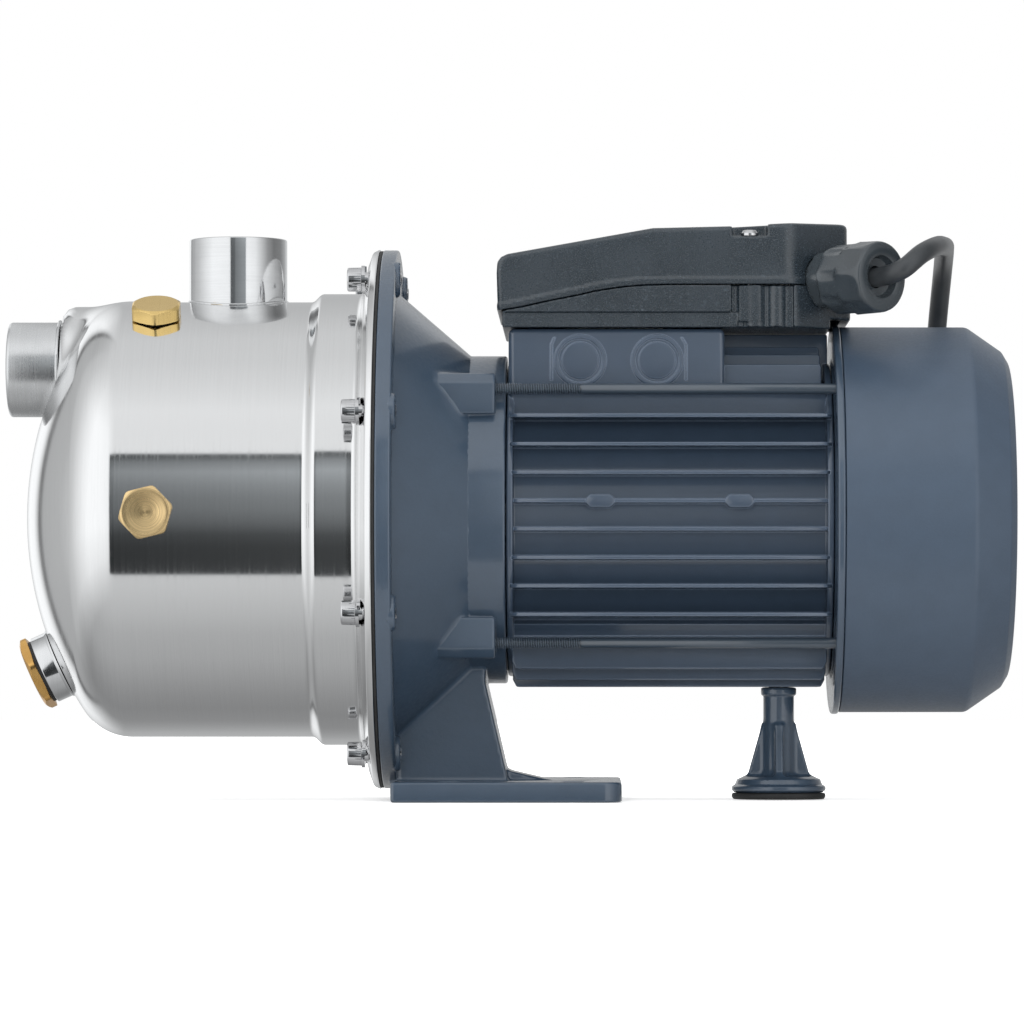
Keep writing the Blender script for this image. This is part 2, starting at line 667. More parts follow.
def cyl_d(X, Y, Z, origin, axis, r, h0, h1, k=0.0):
    a = np.array(axis, float)
    a /= np.linalg.norm(a)
    dx, dy, dz = X - origin[0], Y - origin[1], Z - origin[2]
    h = dx * a[0] + dy * a[1] + dz * a[2]
    rho = np.sqrt(np.maximum(dx * dx + dy * dy + dz * dz - h * h, 0))
    return extrude_d(rho - r, h, h0, h1, k)


def net(f, lo, hi, h):
    """Surface net of f<0 on a grid of step h, pulled on to f=0. Returns vertices, quads and normals."""
    B = 8
    nb = [max(1, int(math.ceil((b - a) / (h * B)))) for a, b in zip(lo, hi)]
    n = [k * B + 1 for k in nb]
    ax = [lo[k] + h * np.arange(n[k]) for k in range(3)]
    cen = [ax[k][:-1].reshape(-1, B).mean(1) + h / 2 for k in range(3)]
    CX, CY, CZ = np.meshgrid(*cen, indexing="ij")
    dc = f(CX, CY, CZ)
    live = np.argwhere(np.abs(dc) < B * h * 0.9 * 1.25)
    D = np.repeat(np.repeat(np.repeat(dc, B, 0), B, 1), B, 2)
    D = np.pad(D, ((0, 1),) * 3, mode="edge").astype(np.float32)
    o = np.arange(B + 1)
    for s in range(0, len(live), 400):
        L = live[s : s + 400]
        I = (L[:, 0] * B)[:, None, None, None] + o[None, :, None, None] + 0 * o[None, None, :, None] + 0 * o[None, None, None, :]
        J = (L[:, 1] * B)[:, None, None, None] + 0 * o[None, :, None, None] + o[None, None, :, None] + 0 * o[None, None, None, :]
        K = (L[:, 2] * B)[:, None, None, None] + 0 * o[None, :, None, None] + 0 * o[None, None, :, None] + o[None, None, None, :]
        D[I, J, K] = f(ax[0][I], ax[1][J], ax[2][K])
    cn = [k - 1 for k in n]
    acc = np.zeros((int(np.prod(cn)), 3))
    cnt = np.zeros(int(np.prod(cn)))
    quads = []
    stride = (cn[1] * cn[2], cn[2], 1)
    for k in range(3):
        u, v = (k + 1) % 3, (k + 2) % 3
        sl0 = [slice(None)] * 3
        sl1 = [slice(None)] * 3
        sl0[k], sl1[k] = slice(0, -1), slice(1, None)
        a, b = D[tuple(sl0)], D[tuple(sl1)]
        hit = np.argwhere((a < 0) != (b < 0))
        ok = (hit[:, u] > 0) & (hit[:, u] < n[u] - 1) & (hit[:, v] > 0) & (hit[:, v] < n[v] - 1)
        hit = hit[ok]
        av, bv = a[tuple(hit.T)].astype(float), b[tuple(hit.T)].astype(float)
        t = av / (av - bv)
        P = np.stack([ax[i][hit[:, i]] for i in range(3)], 1)
        P[:, k] += t * h
        cells = []
        for du, dv in ((-1, -1), (0, -1), (0, 0), (-1, 0)):
            c = hit.copy()
            c[:, u] += du
            c[:, v] += dv
            cells.append(c @ np.array(stride))
        for c in cells:
            cnt += np.bincount(c, minlength=len(cnt))
            for i in range(3):
                acc[:, i] += np.bincount(c, weights=P[:, i], minlength=len(cnt))
        Q = np.stack(cells, 1)
        flip = av > 0
        Q[flip] = Q[flip][:, ::-1]
        quads.append(Q)
    used = np.flatnonzero(cnt)
    V = acc[used] / cnt[used][:, None]
    remap = np.full(len(cnt), -1)
    remap[used] = np.arange(len(used))
    Q = remap[np.concatenate(quads)]

    def grad(P, e):
        g = np.empty_like(P)
        for i in range(3):
            q = P.copy()
            q[:, i] += e
            p = P.copy()
            p[:, i] -= e
            g[:, i] = (f(*q.T) - f(*p.T)) / (2 * e)
        return g

    for _ in range(4):
        d = f(*V.T)
        g = grad(V, 0.02)
        step = d[:, None] * g / np.maximum((g * g).sum(1), 0.2)[:, None]
        L = np.linalg.norm(step, axis=1)
        step *= np.minimum(1, 0.5 * h / np.maximum(L, 1e-9))[:, None]
        V = V - step
    N = grad(V, 0.18)
    N /= np.maximum(np.linalg.norm(N, axis=1), 1e-9)[:, None]
    return V, Q, N


def solid(name, f, lo, hi, h, mat):
    pad = 2 * h
    # the grid is set off by odd fractions, so that no flat face lies on its planes
    V, Q, N = net(f, [a - pad - h * c for a, c in zip(lo, (0.3719, 0.4137, 0.2931))], [b + pad for b in hi], h)
    return mesh(name, V, Q, mat, normals=N)


def put(ob, body, slot, *nodes):
    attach(ob, body)
    if nodes:
        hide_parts(*nodes)
    return ob


# ------------------------------------------------------------------ casing: drawn head, drum, ring and flange in one sheet
DRUM_R = 93.3
HEAD_R, KN_R, APEX = 150.0, 24.0, -206.3
HEAD_C = APEX + HEAD_R
KN_X = HEAD_C - math.sqrt((HEAD_R - KN_R) ** 2 - (DRUM_R - KN_R) ** 2)
KN_A = math.atan2(DRUM_R - KN_R, HEAD_C - KN_X)
SUCT = (0, 0, AZ + 64.5)


def head_d(X, Y, Z):
    r = np.sqrt(Y * Y + (Z - AZ) ** 2)
    ang = np.arctan2(r, HEAD_C - X)
    dome = np.sqrt((X - HEAD_C) ** 2 + r * r) - HEAD_R
    kn = np.sqrt((X - KN_X) ** 2 + (r - DRUM_R + KN_R) ** 2) - KN_R
    d = np.where(X > KN_X, r - DRUM_R, np.where(ang < KN_A, dome, kn))
    rho = np.sqrt(Y * Y + (Z - SUCT[2]) ** 2)
    boss = extrude_d(rho - 27.0, X, -192.5, -120.0, 7.5)
    d = smin(d, boss, 5.0)
    wall = (rho - 22.2 + 0.5 * (X + 192.5)) * 0.894
    pocket = smax(wall, X + 192.5, 4.0)
    return smax(d, -pocket, 5.0)


def true_normals(ob):
    """The outer skin takes its shading from the exact surface, so that reflections run clean across the cut edges."""
    me = ob.data
    co = np.empty(len(me.vertices) * 3, np.float32)
    me.vertices.foreach_get("co", co)
    P = co.reshape(-1, 3).astype(float) / MM
    r = np.hypot(P[:, 1], P[:, 2] - AZ)
    g = np.empty_like(P)
    for i in range(3):
        q, p = P.copy(), P.copy()
        q[:, i] += 0.08
        p[:, i] -= 0.08
        g[:, i] = head_d(*q.T) - head_d(*p.T)
    g /= np.maximum(np.linalg.norm(g, axis=1), 1e-9)[:, None]
    skin = (np.abs(head_d(*P.T)) < 0.06) & (P[:, 0] < -85.2)
    ring = (np.abs(r - 96.8) < 0.03) & (P[:, 0] > -77.8) & (P[:, 0] < -65)
    radial = np.stack([0 * r, P[:, 1] / np.maximum(r, 1e-6), (P[:, 2] - AZ) / np.maximum(r, 1e-6)], 1)
    g[ring] = radial[ring]
    ok = skin | ring
    n = len(me.loops)
    vi = np.empty(n, np.int32)
    me.loops.foreach_get("vertex_index", vi)
    cur = np.empty(n * 3, np.float32)
    me.corner_normals.foreach_get("vector", cur)
    cur = cur.reshape(-1, 3)
    total = np.empty(len(me.polygons), np.int32)
    me.polygons.foreach_get("loop_total", total)
    fn = np.empty(len(me.polygons) * 3, np.float32)
    me.polygons.foreach_get("normal", fn)
    fn = np.repeat(fn.reshape(-1, 3), total, axis=0)
    use = ok[vi] & ((fn * g[vi]).sum(1) > 0.8)
    cur[use] = g[vi][use]
    me.normals_split_custom_set([tuple(v) for v in cur.tolist()])


def casing():
    m = 352
    # outer rows, from the apex to the rim
    head = [(HEAD_C - HEAD_R * math.cos(a), HEAD_R * math.sin(a)) for a in np.linspace(0.006, KN_A, 96)]
    head += [
        (KN_X - KN_R * math.cos(a), DRUM_R - KN_R + KN_R * math.sin(a)) for a in np.linspace(KN_A, PI / 2, 30)[1:]
    ]
    head += [(x, DRUM_R) for x in (-158.5, -155, -150, -145)]
    body = [(float(x), DRUM_R) for x in np.arange(-141, -87, 4.0)] + [(-85.4, DRUM_R)]
    for t in np.linspace(0, 1, 13):
        w = t * t * t * (t * (6 * t - 15) + 10)
        body.append((-84.6 + 6.2 * t, DRUM_R + 3.5 * w))
    body += [(-77.6, 96.8), (-76, 96.8), (-72.5, 96.8), (-69, 96.8)]
    flange = rounded(
        [(-66, 96.8), (-61.9, 96.8, 2.2), (-60.7, 102.0, 2), (-59.3, 109.5, 3), (-57.5, 114.6, 1.6), (-54.7, 115.9, 0.8),
         (-54.7, 114.6, 0.3), (-56.2, 112.8, 1.2), (-57.9, 108.9, 2), (-59.4, 102.0, 2), (-60.6, 95.2, 2.2), (-66, 95.0)],
        steps=5,
    )
    inner = [(-74, 95.0), (-77.5, 95.0), (-84.8, 91.5), (-110, 91.5), (-140, 91.5), (-150, 91.5)]
    inner_head = [
        (KN_X - (KN_R - 1.8) * math.cos(a), DRUM_R - KN_R + (KN_R - 1.8) * math.sin(a)) for a in np.linspace(PI / 2, KN_A, 9)
    ]
    inner_head += [(HEAD_C - (HEAD_R - 1.8) * math.cos(a), (HEAD_R - 1.8) * math.sin(a)) for a in np.linspace(KN_A, 0.012, 34)[1:]]
    rows = np.array(head + body + [tuple(p) for p in flange] + inner + inner_head)
    V, F = revolve(rows[:, 0], np.repeat(rows[:, 1][:, None], m, 1))
    nh = len(head) * m
    n_all = len(rows) * m
    ni = n_all - len(inner_head) * m

    def pull(sl, level, rounds=14):
        P = V[sl].copy()
        for _ in range(rounds):
            d = head_d(*P.T) + level
            g = np.empty_like(P)
            for i in range(3):
                q = P.copy()
                q[:, i] += 0.05
                p = P.copy()
                p[:, i] -= 0.05
                g[:, i] = (head_d(*q.T) - head_d(*p.T)) / 0.1
            step = d[:, None] * g / np.maximum((g * g).sum(1), 0.3)[:, None]
            L = np.linalg.norm(step, axis=1)
            step *= np.minimum(1, 1.2 / np.maximum(L, 1e-9))[:, None]
            P -= step
        V[sl] = P

    def relax(first, last, level):
        """Spreads the grid evenly over the boss and its pocket."""
        G = V[first:last].reshape(-1, m, 3)
        w = np.clip((44.0 - np.sqrt(G[..., 1] ** 2 + (G[..., 2] - SUCT[2]) ** 2)) / 8.0, 0, 1)[..., None] * 0.6
        w[0] = 0
        w[-1] = 0
        for _ in range(16):
            mean = (np.roll(G, 1, 1) + np.roll(G, -1, 1)) / 4
            mean[1:-1] += (G[2:] + G[:-2]) / 4
            G[1:-1] += w[1:-1] * (mean[1:-1] - G[1:-1])
            V[first:last] = G.reshape(-1, 3)
            pull(slice(first, last), level, 3)
            G = V[first:last].reshape(-1, m, 3)

    pull(slice(0, nh), 0.0)
    relax(0, nh, 0.0)
    pull(slice(ni, n_all), 1.8)
    # the two pole points follow their neighbours
    V[n_all] = V[:m].mean(0)
    V[n_all + 1] = V[n_all - m : n_all].mean(0)
    ob = mesh("casing", V, F, M["polished_stainless"], 28)
    cuts = [
        cylinder("c1", -199, -186, 15.2, SUCT, (1, 0, 0)),
        cylinder("c2", 84, 99, 15.2, (-116.2, 0, AZ), (0, 0, 1)),
        cylinder("c3", 140, 156, 10.8, (HEAD_C, 0, AZ), DRAIN),
        cylinder("c4", 84, 99, 8.5, (-148.3, 0, AZ), FILL),
        cylinder("c5", 84, 99, 8.5, (-148.3, 0, AZ), VENT),
    ]
    for i in range(8):
        a = rad(22.5 + 45 * i)
        cuts.append(cylinder("c", -66, -50, 3.4, (0, 108.4 * math.cos(a), AZ + 108.4 * math.sin(a)), (1, 0, 0), 24))
    boolean(ob, cuts, sharp=28)
    true_normals(ob)
    return put(ob, "pump_set", "polished_stainless", "casing_shell")


FILL = (0, -math.sin(rad(25)), math.cos(rad(25)))
VENT = (0, -1, 0)
DRAIN = (-math.cos(rad(24.3)), 0, -math.sin(rad(24.3)))
casing()


# welded sockets with their female threads
def socket(name, length, outer, inner_r, origin, axis, mat, node, chamfer, rim, pitch=2.309, depth=1.45, base=0.0):
    """Threaded socket: base at height base, mouth at height length."""
    m = 96
    rows_h, rows_r = [], []
    for h, r in rounded([(base, inner_r + 0.2), (base, outer, 0.3), (length, outer, rim), (length, inner_r + chamfer + depth * 0.7, 0.3)]
                        + [(length - chamfer - 0.8, inner_r + 0.1)], steps=5)[1:]:
        rows_h.append(np.full(m, h))
        rows_r.append(np.full(m, r))
    th = np.arange(m) * 2 * PI / m
    hs = np.arange(length - chamfer - 1.0, base + 0.6, -pitch / 9)
    for h in hs:
        fade = np.clip((length - chamfer - 1.0 - h) / 1.5, 0, 1) * np.clip((h - base - 0.6) / 2.5, 0, 1)
        w = thread_wave(h / pitch - th / (2 * PI))
        rows_h.append(np.full(m, h))
        rows_r.append(inner_r + 0.05 + depth * w * fade)
    rows_h.append(np.full(m, base))
    rows_r.append(np.full(m, inner_r + 0.2))
    V, F = revolve(np.array(rows_h), np.array(rows_r), origin, axis, closed=True)
    ob = mesh(name, V, F, mat, 35)
    return put(ob, "pump_set", "turned_stainless", *( [node] if node else []))


socket("suction_socket", 214.4, 20.3, 15.15, SUCT, (-1, 0, 0), M["turned_stainless_soft"], "suction_port", 1.0, 2.0, base=192.2)


def discharge():
    m = 120
    th = np.arange(m) * 2 * PI / m
    a, u, v = axes((0, 0, 1))
    # the lower end is cut to sit on the drum
    y = 20.9 * (np.cos(th) * u[1] + np.sin(th) * v[1])
    foot_o = np.sqrt(DRUM_R**2 - y**2) + 0.05
    yi = 15.3 * (np.cos(th) * u[1] + np.sin(th) * v[1])
    foot_i = np.sqrt(DRUM_R**2 - yi**2) + 0.05
    top = 120.2
    H, R = [], []

    def row(h, r):
        H.append(np.broadcast_to(h, (m,)).astype(float))
        R.append(np.broadcast_to(r, (m,)).astype(float))

    row(foot_o, 20.9)
    for t in (0.25, 0.5, 0.75):
        row(foot_o + (top - 0.8 - foot_o) * t, 20.9)
    for k in range(6):
        q = k / 5 * PI / 2
        row(top - 0.6 + 0.6 * math.sin(q), 20.3 + 0.6 * math.cos(q))
    row(top, 17.2)
    row(top - 0.2, 16.9)
    row(top - 1.6, 15.3)
    for h in np.arange(top - 1.8, 97.5, -2.309 / 9):
        fade = np.clip((top - 1.8 - h) / 1.5, 0, 1) * np.clip((h - 97.5) / 3, 0, 1)
        row(h, 15.2 + 1.45 * thread_wave(h / 2.309 - th / (2 * PI)) * fade)
    row(foot_i, 15.3)
    V, F = revolve(np.array(H), np.array(R), (-116.2, 0, AZ), (0, 0, 1), closed=True)
    put(mesh("discharge_socket", V, F, M["turned_stainless_up"], 35), "pump_set", "turned_stainless", "discharge_port")
    t = np.linspace(0, 2 * PI, 120, endpoint=False)
    yy = 21.0 * np.sin(t)
    pts = np.stack([-116.2 + 21.0 * np.cos(t), yy, AZ + np.sqrt(DRUM_R**2 - yy**2) + 0.12], 1)
    rr = 0.62 + 0.06 * np.sin(t * 71)
    put(sweep("discharge_weld", pts, rr, M["turned_stainless_up"], 10, True), "pump_set", "turned_stainless")


discharge()


def torus(name, R, r, h, origin, axis, mat, ripple=0.0, n=120):
    a, u, v = axes(axis)
    t = np.linspace(0, 2 * PI, n, endpoint=False)
    pts = np.array(origin) + h * a + R * np.cos(t)[:, None] * u + R * np.sin(t)[:, None] * v
    return sweep(name, pts, r + ripple * np.sin(t * 61), mat, 12, True)


put(torus("suction_weld", 20.5, 0.75, 192.6, SUCT, (-1, 0, 0), M["turned_stainless"], 0.07), "pump_set", "turned_stainless")


def drain_socket():
    o = (HEAD_C, 0, AZ)
    m = 96
    th = np.arange(m) * 2 * PI / m
    H, R = [], []
    for h, r in rounded([(149.6, 10.9), (149.6, 15.3), (150.3, 15.1, 0.4), (150.8, 14.75, 0.3), (157.2, 14.75, 0.5), (157.2, 12.0, 0.2)], steps=4)[1:]:
        H.append(np.full(m, h))
        R.append(np.full(m, r))
    for h in np.arange(156.8, 150.6, -1.814 / 8):
        fade = np.clip((156.9 - h) / 1.0, 0, 1) * np.clip((h - 150.6) / 1.5, 0, 1)
        H.append(np.full(m, h))
        R.append(10.8 + 1.0 * thread_wave(h / 1.814 - th / (2 * PI)) * fade)
    H.append(np.full(m, 149.6))
    R.append(np.full(m, 10.9))
    V, F = revolve(np.array(H), np.array(R), o, DRAIN, closed=True)
    put(mesh("drain_boss", V, F, M["turned_stainless"], 35), "pump_set", "turned_stainless", "drain_socket")


drain_socket()


# ------------------------------------------------------------------ brass plugs and their sealing rings
def plug(name, origin, axis, seat, seal, flats, height, shank_r, shank_l, pitch, roll, mat, node, dish, body):
    si, so, st = seal
    m = 180
    a, u, v = axes(axis, rad(roll))
    th = np.arange(m) * 2 * PI / m
    h0 = seat + st * 0.7
    hexr = hex_radius(th, flats)
    cor = flats / 2 / math.cos(PI / 6)
    H, R = [], []

    def row(h, r):
        H.append(np.full(m, float(h)))
        R.append(np.broadcast_to(r, (m,)).astype(float))

    # thread, from its tip up to the head
    tip = h0 - shank_l
    row(tip, shank_r - 1.6)
    row(tip + 0.05, shank_r - 1.2)
    hs = np.arange(tip + 0.3, h0 - 1.4, pitch / 8)
    dep = pitch * 0.5
    for h in hs:
        fade = np.clip((h - tip) / 1.5, 0, 1) * np.clip((h0 - 1.4 - h) / 1.0, 0, 1)
        w = thread_wave(h / pitch - th / (2 * PI))
        row(h, shank_r - dep + dep * w * fade)
    row(h0 - 1.2, shank_r - dep)
    row(h0 - 0.05, shank_r - dep)
    # underside of the head, then the flats with their turned-down corners
    wash = flats / 2 + 0.2
    row(h0, shank_r - dep + 0.3)
    row(h0, np.minimum(hexr, wash))
    for t in np.linspace(0.0, 1.0, 5):
        row(h0 + 0.05 + 0.3 * t, np.minimum(hexr, wash + 0.1 + (cor - wash) * t * 1.2))
    for t in np.linspace(0.12, 0.62, 4):
        row(h0 + height * t, hexr)
    top_r = flats / 2 - 0.7
    for t in np.linspace(0.66, 1.0, 12):
        hh = h0 + height * t
        cone = top_r + (h0 + height - hh) / math.tan(rad(30)) + 0.02
        row(hh, np.minimum(hexr, cone))
    if dish:
        row(h0 + height - 0.03, top_r - 0.9)
        for k in range(1, 9):
            q = k / 8
            row(h0 + height - 0.08 - dish * math.sin(q * PI / 2), (top_r - 1.1) * (1 - q * 0.93))
    else:
        row(h0 + height, top_r - 0.4)
        row(h0 + height, 1.0)
    V, F = revolve(np.array(H), np.array(R), origin, axis, rad(roll))
    put(mesh(name, V, F, mat, 24), body + "_plug", "brass", node).visible_glossy = body == "fill"
    put(
        lathe(name + "_ring", [(seat - 0.1, si, 0.2), (seat - 0.1, so - 0.3, 0.2), (seat + st * 0.7 - 0.02, so - 0.3, 0.2), (seat + st * 0.7 - 0.02, si, 0.2)], M["seal_rubber"], 80, origin, axis),
        body + "_seal", "seal_rubber", node + "_seal",
    )


plug("fill_plug_brass", (-148.3, 0, AZ), FILL, 93.25, (8.5, 9.0, 0.4), 20.0, 5.9, 8.2, 11.5, 1.337, 30, M["brass"], "fill_plug", 0.0, "fill")
plug("vent_plug_brass", (-148.3, 0, AZ), VENT, 93.25, (8.5, 9.3, 0.7), 20.3, 5.9, 8.2, 11.5, 1.337, 14, M["brass_face"], "vent_plug", 0.9, "vent")
plug("drain_plug_brass", (HEAD_C, 0, AZ), DRAIN, 157.3, (10.9, 14.1, 1.75), 29.3, 4.0, 10.6, 12.5, 1.814, 12, M["brass_orange"], "drain_plug", 0.0, "drain")


# ------------------------------------------------------------------ flange joint
put(lathe("flange_gasket_ring", [(-54.6, 98.6, 0.2), (-54.6, 115.2, 0.3), (-53.4, 115.2, 0.3), (-53.4, 98.6, 0.2)], M["seal_rubber"], 160),
    "pump_set", "seal_rubber", "flange_gasket")


def flange_screws():
    m = 72
    th = np.arange(m) * 2 * PI / m
    # head with a hexagon socket, knurled side, and a plain then threaded shank
    H, R = [], []

    def row(h, r):
        H.append(np.full(m, float(h)))
        R.append(np.broadcast_to(r, (m,)).astype(float))

    hexr = hex_radius(th, 5.0, 0.1)
    row(-63.6, hexr * 0.3)
    row(-63.9, hexr)
    row(-67.1, hexr)
    row(-67.5, hexr + 0.35)
    for h, r in rounded([(-67.5, 3.6), (-67.5, 5.0, 0.7), (-61.4, 5.0, 0.3), (-61.4, 3.1)], steps=4)[1:-1]:
        row(h, r + (0.11 * np.cos(th * 36) if -66.6 < h < -61.6 else 0))
    row(-61.4, 3.1)
    row(-50, 2.95)
    for h in np.arange(-49.8, -44.9, 0.125):
        row(h, 2.95 - 0.5 + 0.5 * thread_wave(h - th / (2 * PI)))
    row(-44.6, 2.5)
    row(-44.4, 2.1)
    V, F = revolve(np.array(H), np.array(R), (0, 0, 0), (1, 0, 0))
    base = mesh("flange_screw", V, F, M["bright_steel"], 30)
    # split spring washer
    t = np.linspace(rad(8), rad(352), 64)
    pts = np.stack([-60.45 + 0.35 * (t - PI) / PI, 4.55 * np.cos(t), 4.55 * np.sin(t)], 1)
    n = len(pts)
    sec = np.array([(-0.72, -1.35), (0.72, -1.35), (0.72, 1.35), (-0.72, 1.35)])
    V = []
    for p, a in zip(pts, t):
        for s in sec:
            V.append((p[0] + s[0], (4.55 + s[1]) * math.cos(a), (4.55 + s[1]) * math.sin(a)))
    idx = np.arange(n * 4).reshape(n, 4)
    nx = np.roll(idx, -1, 1)
    q = [np.stack([idx[i], idx[i + 1], nx[i + 1], nx[i]], 1) for i in range(n - 1)]
    q.append(np.array([idx[0]]))
    q.append(np.array([idx[-1][::-1]]))
    wash = mesh("washer", np.array(V), np.concatenate(q), M["bright_steel"], 30)
    one = merge([base, wash], "flange_screw")
    me = one.data
    bpy.data.objects.remove(one, do_unlink=True)
    for i in range(8):
        a = rad(22.5 + 45 * i)
        ob = bpy.data.objects.new(f"flange_screw_m6_{i + 1}", me)
        COL.objects.link(ob)
        ob.matrix_world = Matrix.Translation(
            (0, 108.4 * math.cos(a) * MM, (AZ + 108.4 * math.sin(a)) * MM)
        ) @ Matrix.Rotation(rad(37 * i + 11), 4, "X")
        put(ob, "pump_set", "bright_steel", f"flange_screw_{i + 1}")


flange_screws()


# ------------------------------------------------------------------ bracket: one casting with fillets
RODS = [(-53.4, AZ + 53.4), (53.4, AZ + 53.4), (-53.4, AZ - 53.4), (53.4, AZ - 53.4)]
BOLTS = [(108.4 * math.cos(rad(22.5 + 45 * i)), AZ + 108.4 * math.sin(rad(22.5 + 45 * i))) for i in range(8)]


def bracket_d(X, Y, Z):
    zr = Z - AZ
    r = np.sqrt(Y * Y + zr * zr)
    shell = poly_d(
        X, r,
        [(-52.4, 98.2), (-52.4, 114.6), (-47.3, 114.6), (-47.3, 97.2), (-15.8, 70.0), (-1.0, 69.7), (-1.0, 65.2),
         (-17.5, 65.2), (-46.7, 89.8), (-49.3, 89.8), (-49.3, 98.2)],
    )
    shell = shell - 0.0
    hub = poly_d(
        X, r,
        [(-22, 9.6), (-22, 26), (-12, 26), (-12, 66), (-6.5, 66), (-6.5, 26), (-4.6, 26), (-4.6, 20.2), (-17.4, 20.2), (-17.4, 9.6)],
    )
    d = smin(shell, hub, 4.0)
    # round the flange root
    for y, z in BOLTS:
        rho = np.sqrt((Y - y) ** 2 + (Z - z) ** 2)
        d = smin(d, extrude_d(rho - 7.4, X, -48.5, -44.9, 0.6), 1.6)
    ay, az = np.abs(Y), np.abs(zr)
    lug = box_d(X, ay, az, (-34, 40, 43.1), (-5.3, 59.3, 59.4), 1.3)
    # the lug's outer corner is chamfered away from the shaft
    lug = smax(lug, (ay + az - 114.9) * 0.7071, 2.0)
    d = smin(d, lug, 2.6)
    # leg: hollow box of two cheeks, back wall and a top that follows the cone
    outer = extrude_d(
        poly_d(X, Z, [(-50, 2), (1.8, 2), (-9.5, 50.3), (-9.5, 62), (-50, 62)]), ay, -30.0, 30.0, 1.2
    )
    inner = extrude_d(poly_d(X, Z, [(-60, -4), (-6.0, -4), (-15.0, 48), (-15.0, 60), (-60, 60)]), ay, -24.5, 24.5, 1.5)
    leg = smax(outer, -inner, 2.0)
    inside = poly_d(X, r, [(-70, -5), (-70, 90.5), (-46.7, 90.5), (-17.5, 65.5), (10, 65.5), (10, -5)])
    leg = smax(leg, -inside, 2.0)
    d = smin(d, leg, 2.6)
    wedge = extrude_d(poly_d(X, Z, [(-4, 6), (19, 8.2), (1.8, 12.2), (-4, 14.5)]), ay, -22, 22, 1.0)
    d = smin(d, wedge, 1.2)
    # base plate
    px, py = X - 0.3, Y
    hx, hy, cr = 47.2, 84.1, 8.0
    right = np.where(X > 0, cr, 2.0)
    qx, qy = np.abs(px) - hx + right, np.abs(py) - hy + right
    plan = np.sqrt(np.maximum(qx, 0) ** 2 + np.maximum(qy, 0) ** 2) + np.minimum(np.maximum(qx, qy), 0) - right
    plate = extrude_d(plan, Z, 0.6, 7.9, 1.3)
    d = smin(d, plate, 2.0)
    for x in (-24, 28):
        for y in (-68, 68):
            qy = np.maximum(np.abs(Y - y) - 3.5, 0)
            slot = np.maximum(np.sqrt((X - x) ** 2 + qy * qy) - 4.7, Z - 13.0)
            d = smax(d, -slot, 0.9)
    d = smax(d, -box_d(X, Y, Z, (-40, -19, -10), (-12, 19, 12), 2.5), 1.2)
    for y, z in BOLTS:
        rho = np.sqrt((Y - y) ** 2 + (Z - z) ** 2)
        d = np.maximum(d, -extrude_d(rho - 3.35, X, -60, -40))
    rod = np.sqrt((ay - 53.4) ** 2 + (az - 53.4) ** 2)
    d = np.maximum(d, -extrude_d(rod - 2.9, X, -22, 0))
    # recess for the seal plate, and a clean gasket face
    d = np.maximum(d, -extrude_d(r - 98.2, X, -70, -49.3))
    return np.maximum(d, -52.4 - X)


put(solid("motor_bracket_casting", bracket_d, (-53.3, -115.6, 0), (48.6, 115.6, 235.6), 1.42, M["casting_paint"]),
    "pump_set", "casting_paint", "motor_bracket")


def bracket_rims():
    """The machined and sharp-edged features of the casting."""
    paint = M["casting_paint"]
    rim = lathe("bracket_flange_rim", [(-53.3, 98.4, 0.2), (-53.3, 115.5, 0.7), (-46.7, 115.5, 1.0), (-46.7, 98.4, 0.2)], paint, 256, closed=True)
    boolean(rim, [cylinder("b", -60, -40, 3.35, (0, y, z), (1, 0, 0), 24) for y, z in BOLTS], sharp=30)
    put(rim, "pump_set", "casting_paint")
    put(lathe("bracket_hub_rim", [(-16.4, 64.7, 0.2), (-16.4, 70.25, 0.5), (-0.45, 70.25, 1.0), (-0.45, 64.7, 0.4)], paint, 200, closed=True),
        "pump_set", "casting_paint")
    for k, (sy, sz) in enumerate(((-1, 1), (1, 1), (-1, -1), (1, -1))):
        pts = [(42.6, 42.6), (59.9, 42.6), (59.9, 55.9), (55.9, 59.9), (42.6, 59.9)]
        o = prism("bracket_lug_%d" % (k + 1), [(sy * a, AZ + sz * b) for a, b in pts], -34.0, -4.8, "YZ", paint)
        bevel(o, 1.1, 4, 30)
        inside = cylinder("cone", -60, 0, 64.8, ON_SHAFT, (1, 0, 0), 96)
        rod = cylinder("rod", -22, 2, 2.9, (0, sy * 53.4, AZ + sz * 53.4), (1, 0, 0), 24)
        boolean(o, [inside, rod], sharp=30)
        put(o, "pump_set", "casting_paint")
    arc = lambda cx, cy, r, a0, a1: [(cx + r * math.cos(rad(a)), cy + r * math.sin(rad(a))) for a in np.linspace(a0, a1, 9)]
    out = arc(39.9, 76.5, 8.5, 0, 90) + arc(-46.3, 83.5, 1.5, 90, 180) + arc(-46.3, -83.5, 1.5, 180, 270) + arc(39.9, -76.5, 8.5, 270, 360)
    plate = prism("bracket_base_plate", out, 0.0, 8.4, "XY", paint)
    bevel(plate, 1.1, 4, 40)
    tools = []
    for x in (-24, 28):
        for y in (-68, 68):
            st = arc(x, y + 3.5, 4.7, 0, 180) + arc(x, y - 3.5, 4.7, 180, 360)
            tools.append(prism("slot", st, -3, 12, "XY", paint))
    tools.append(block("open", (-40, -19, -3), (-12, 19, 12), paint))
    boolean(plate, tools, sharp=30)
    bevel(plate, 0.4, 2, 60)
    put(plate, "pump_set", "casting_paint")


bracket_rims()


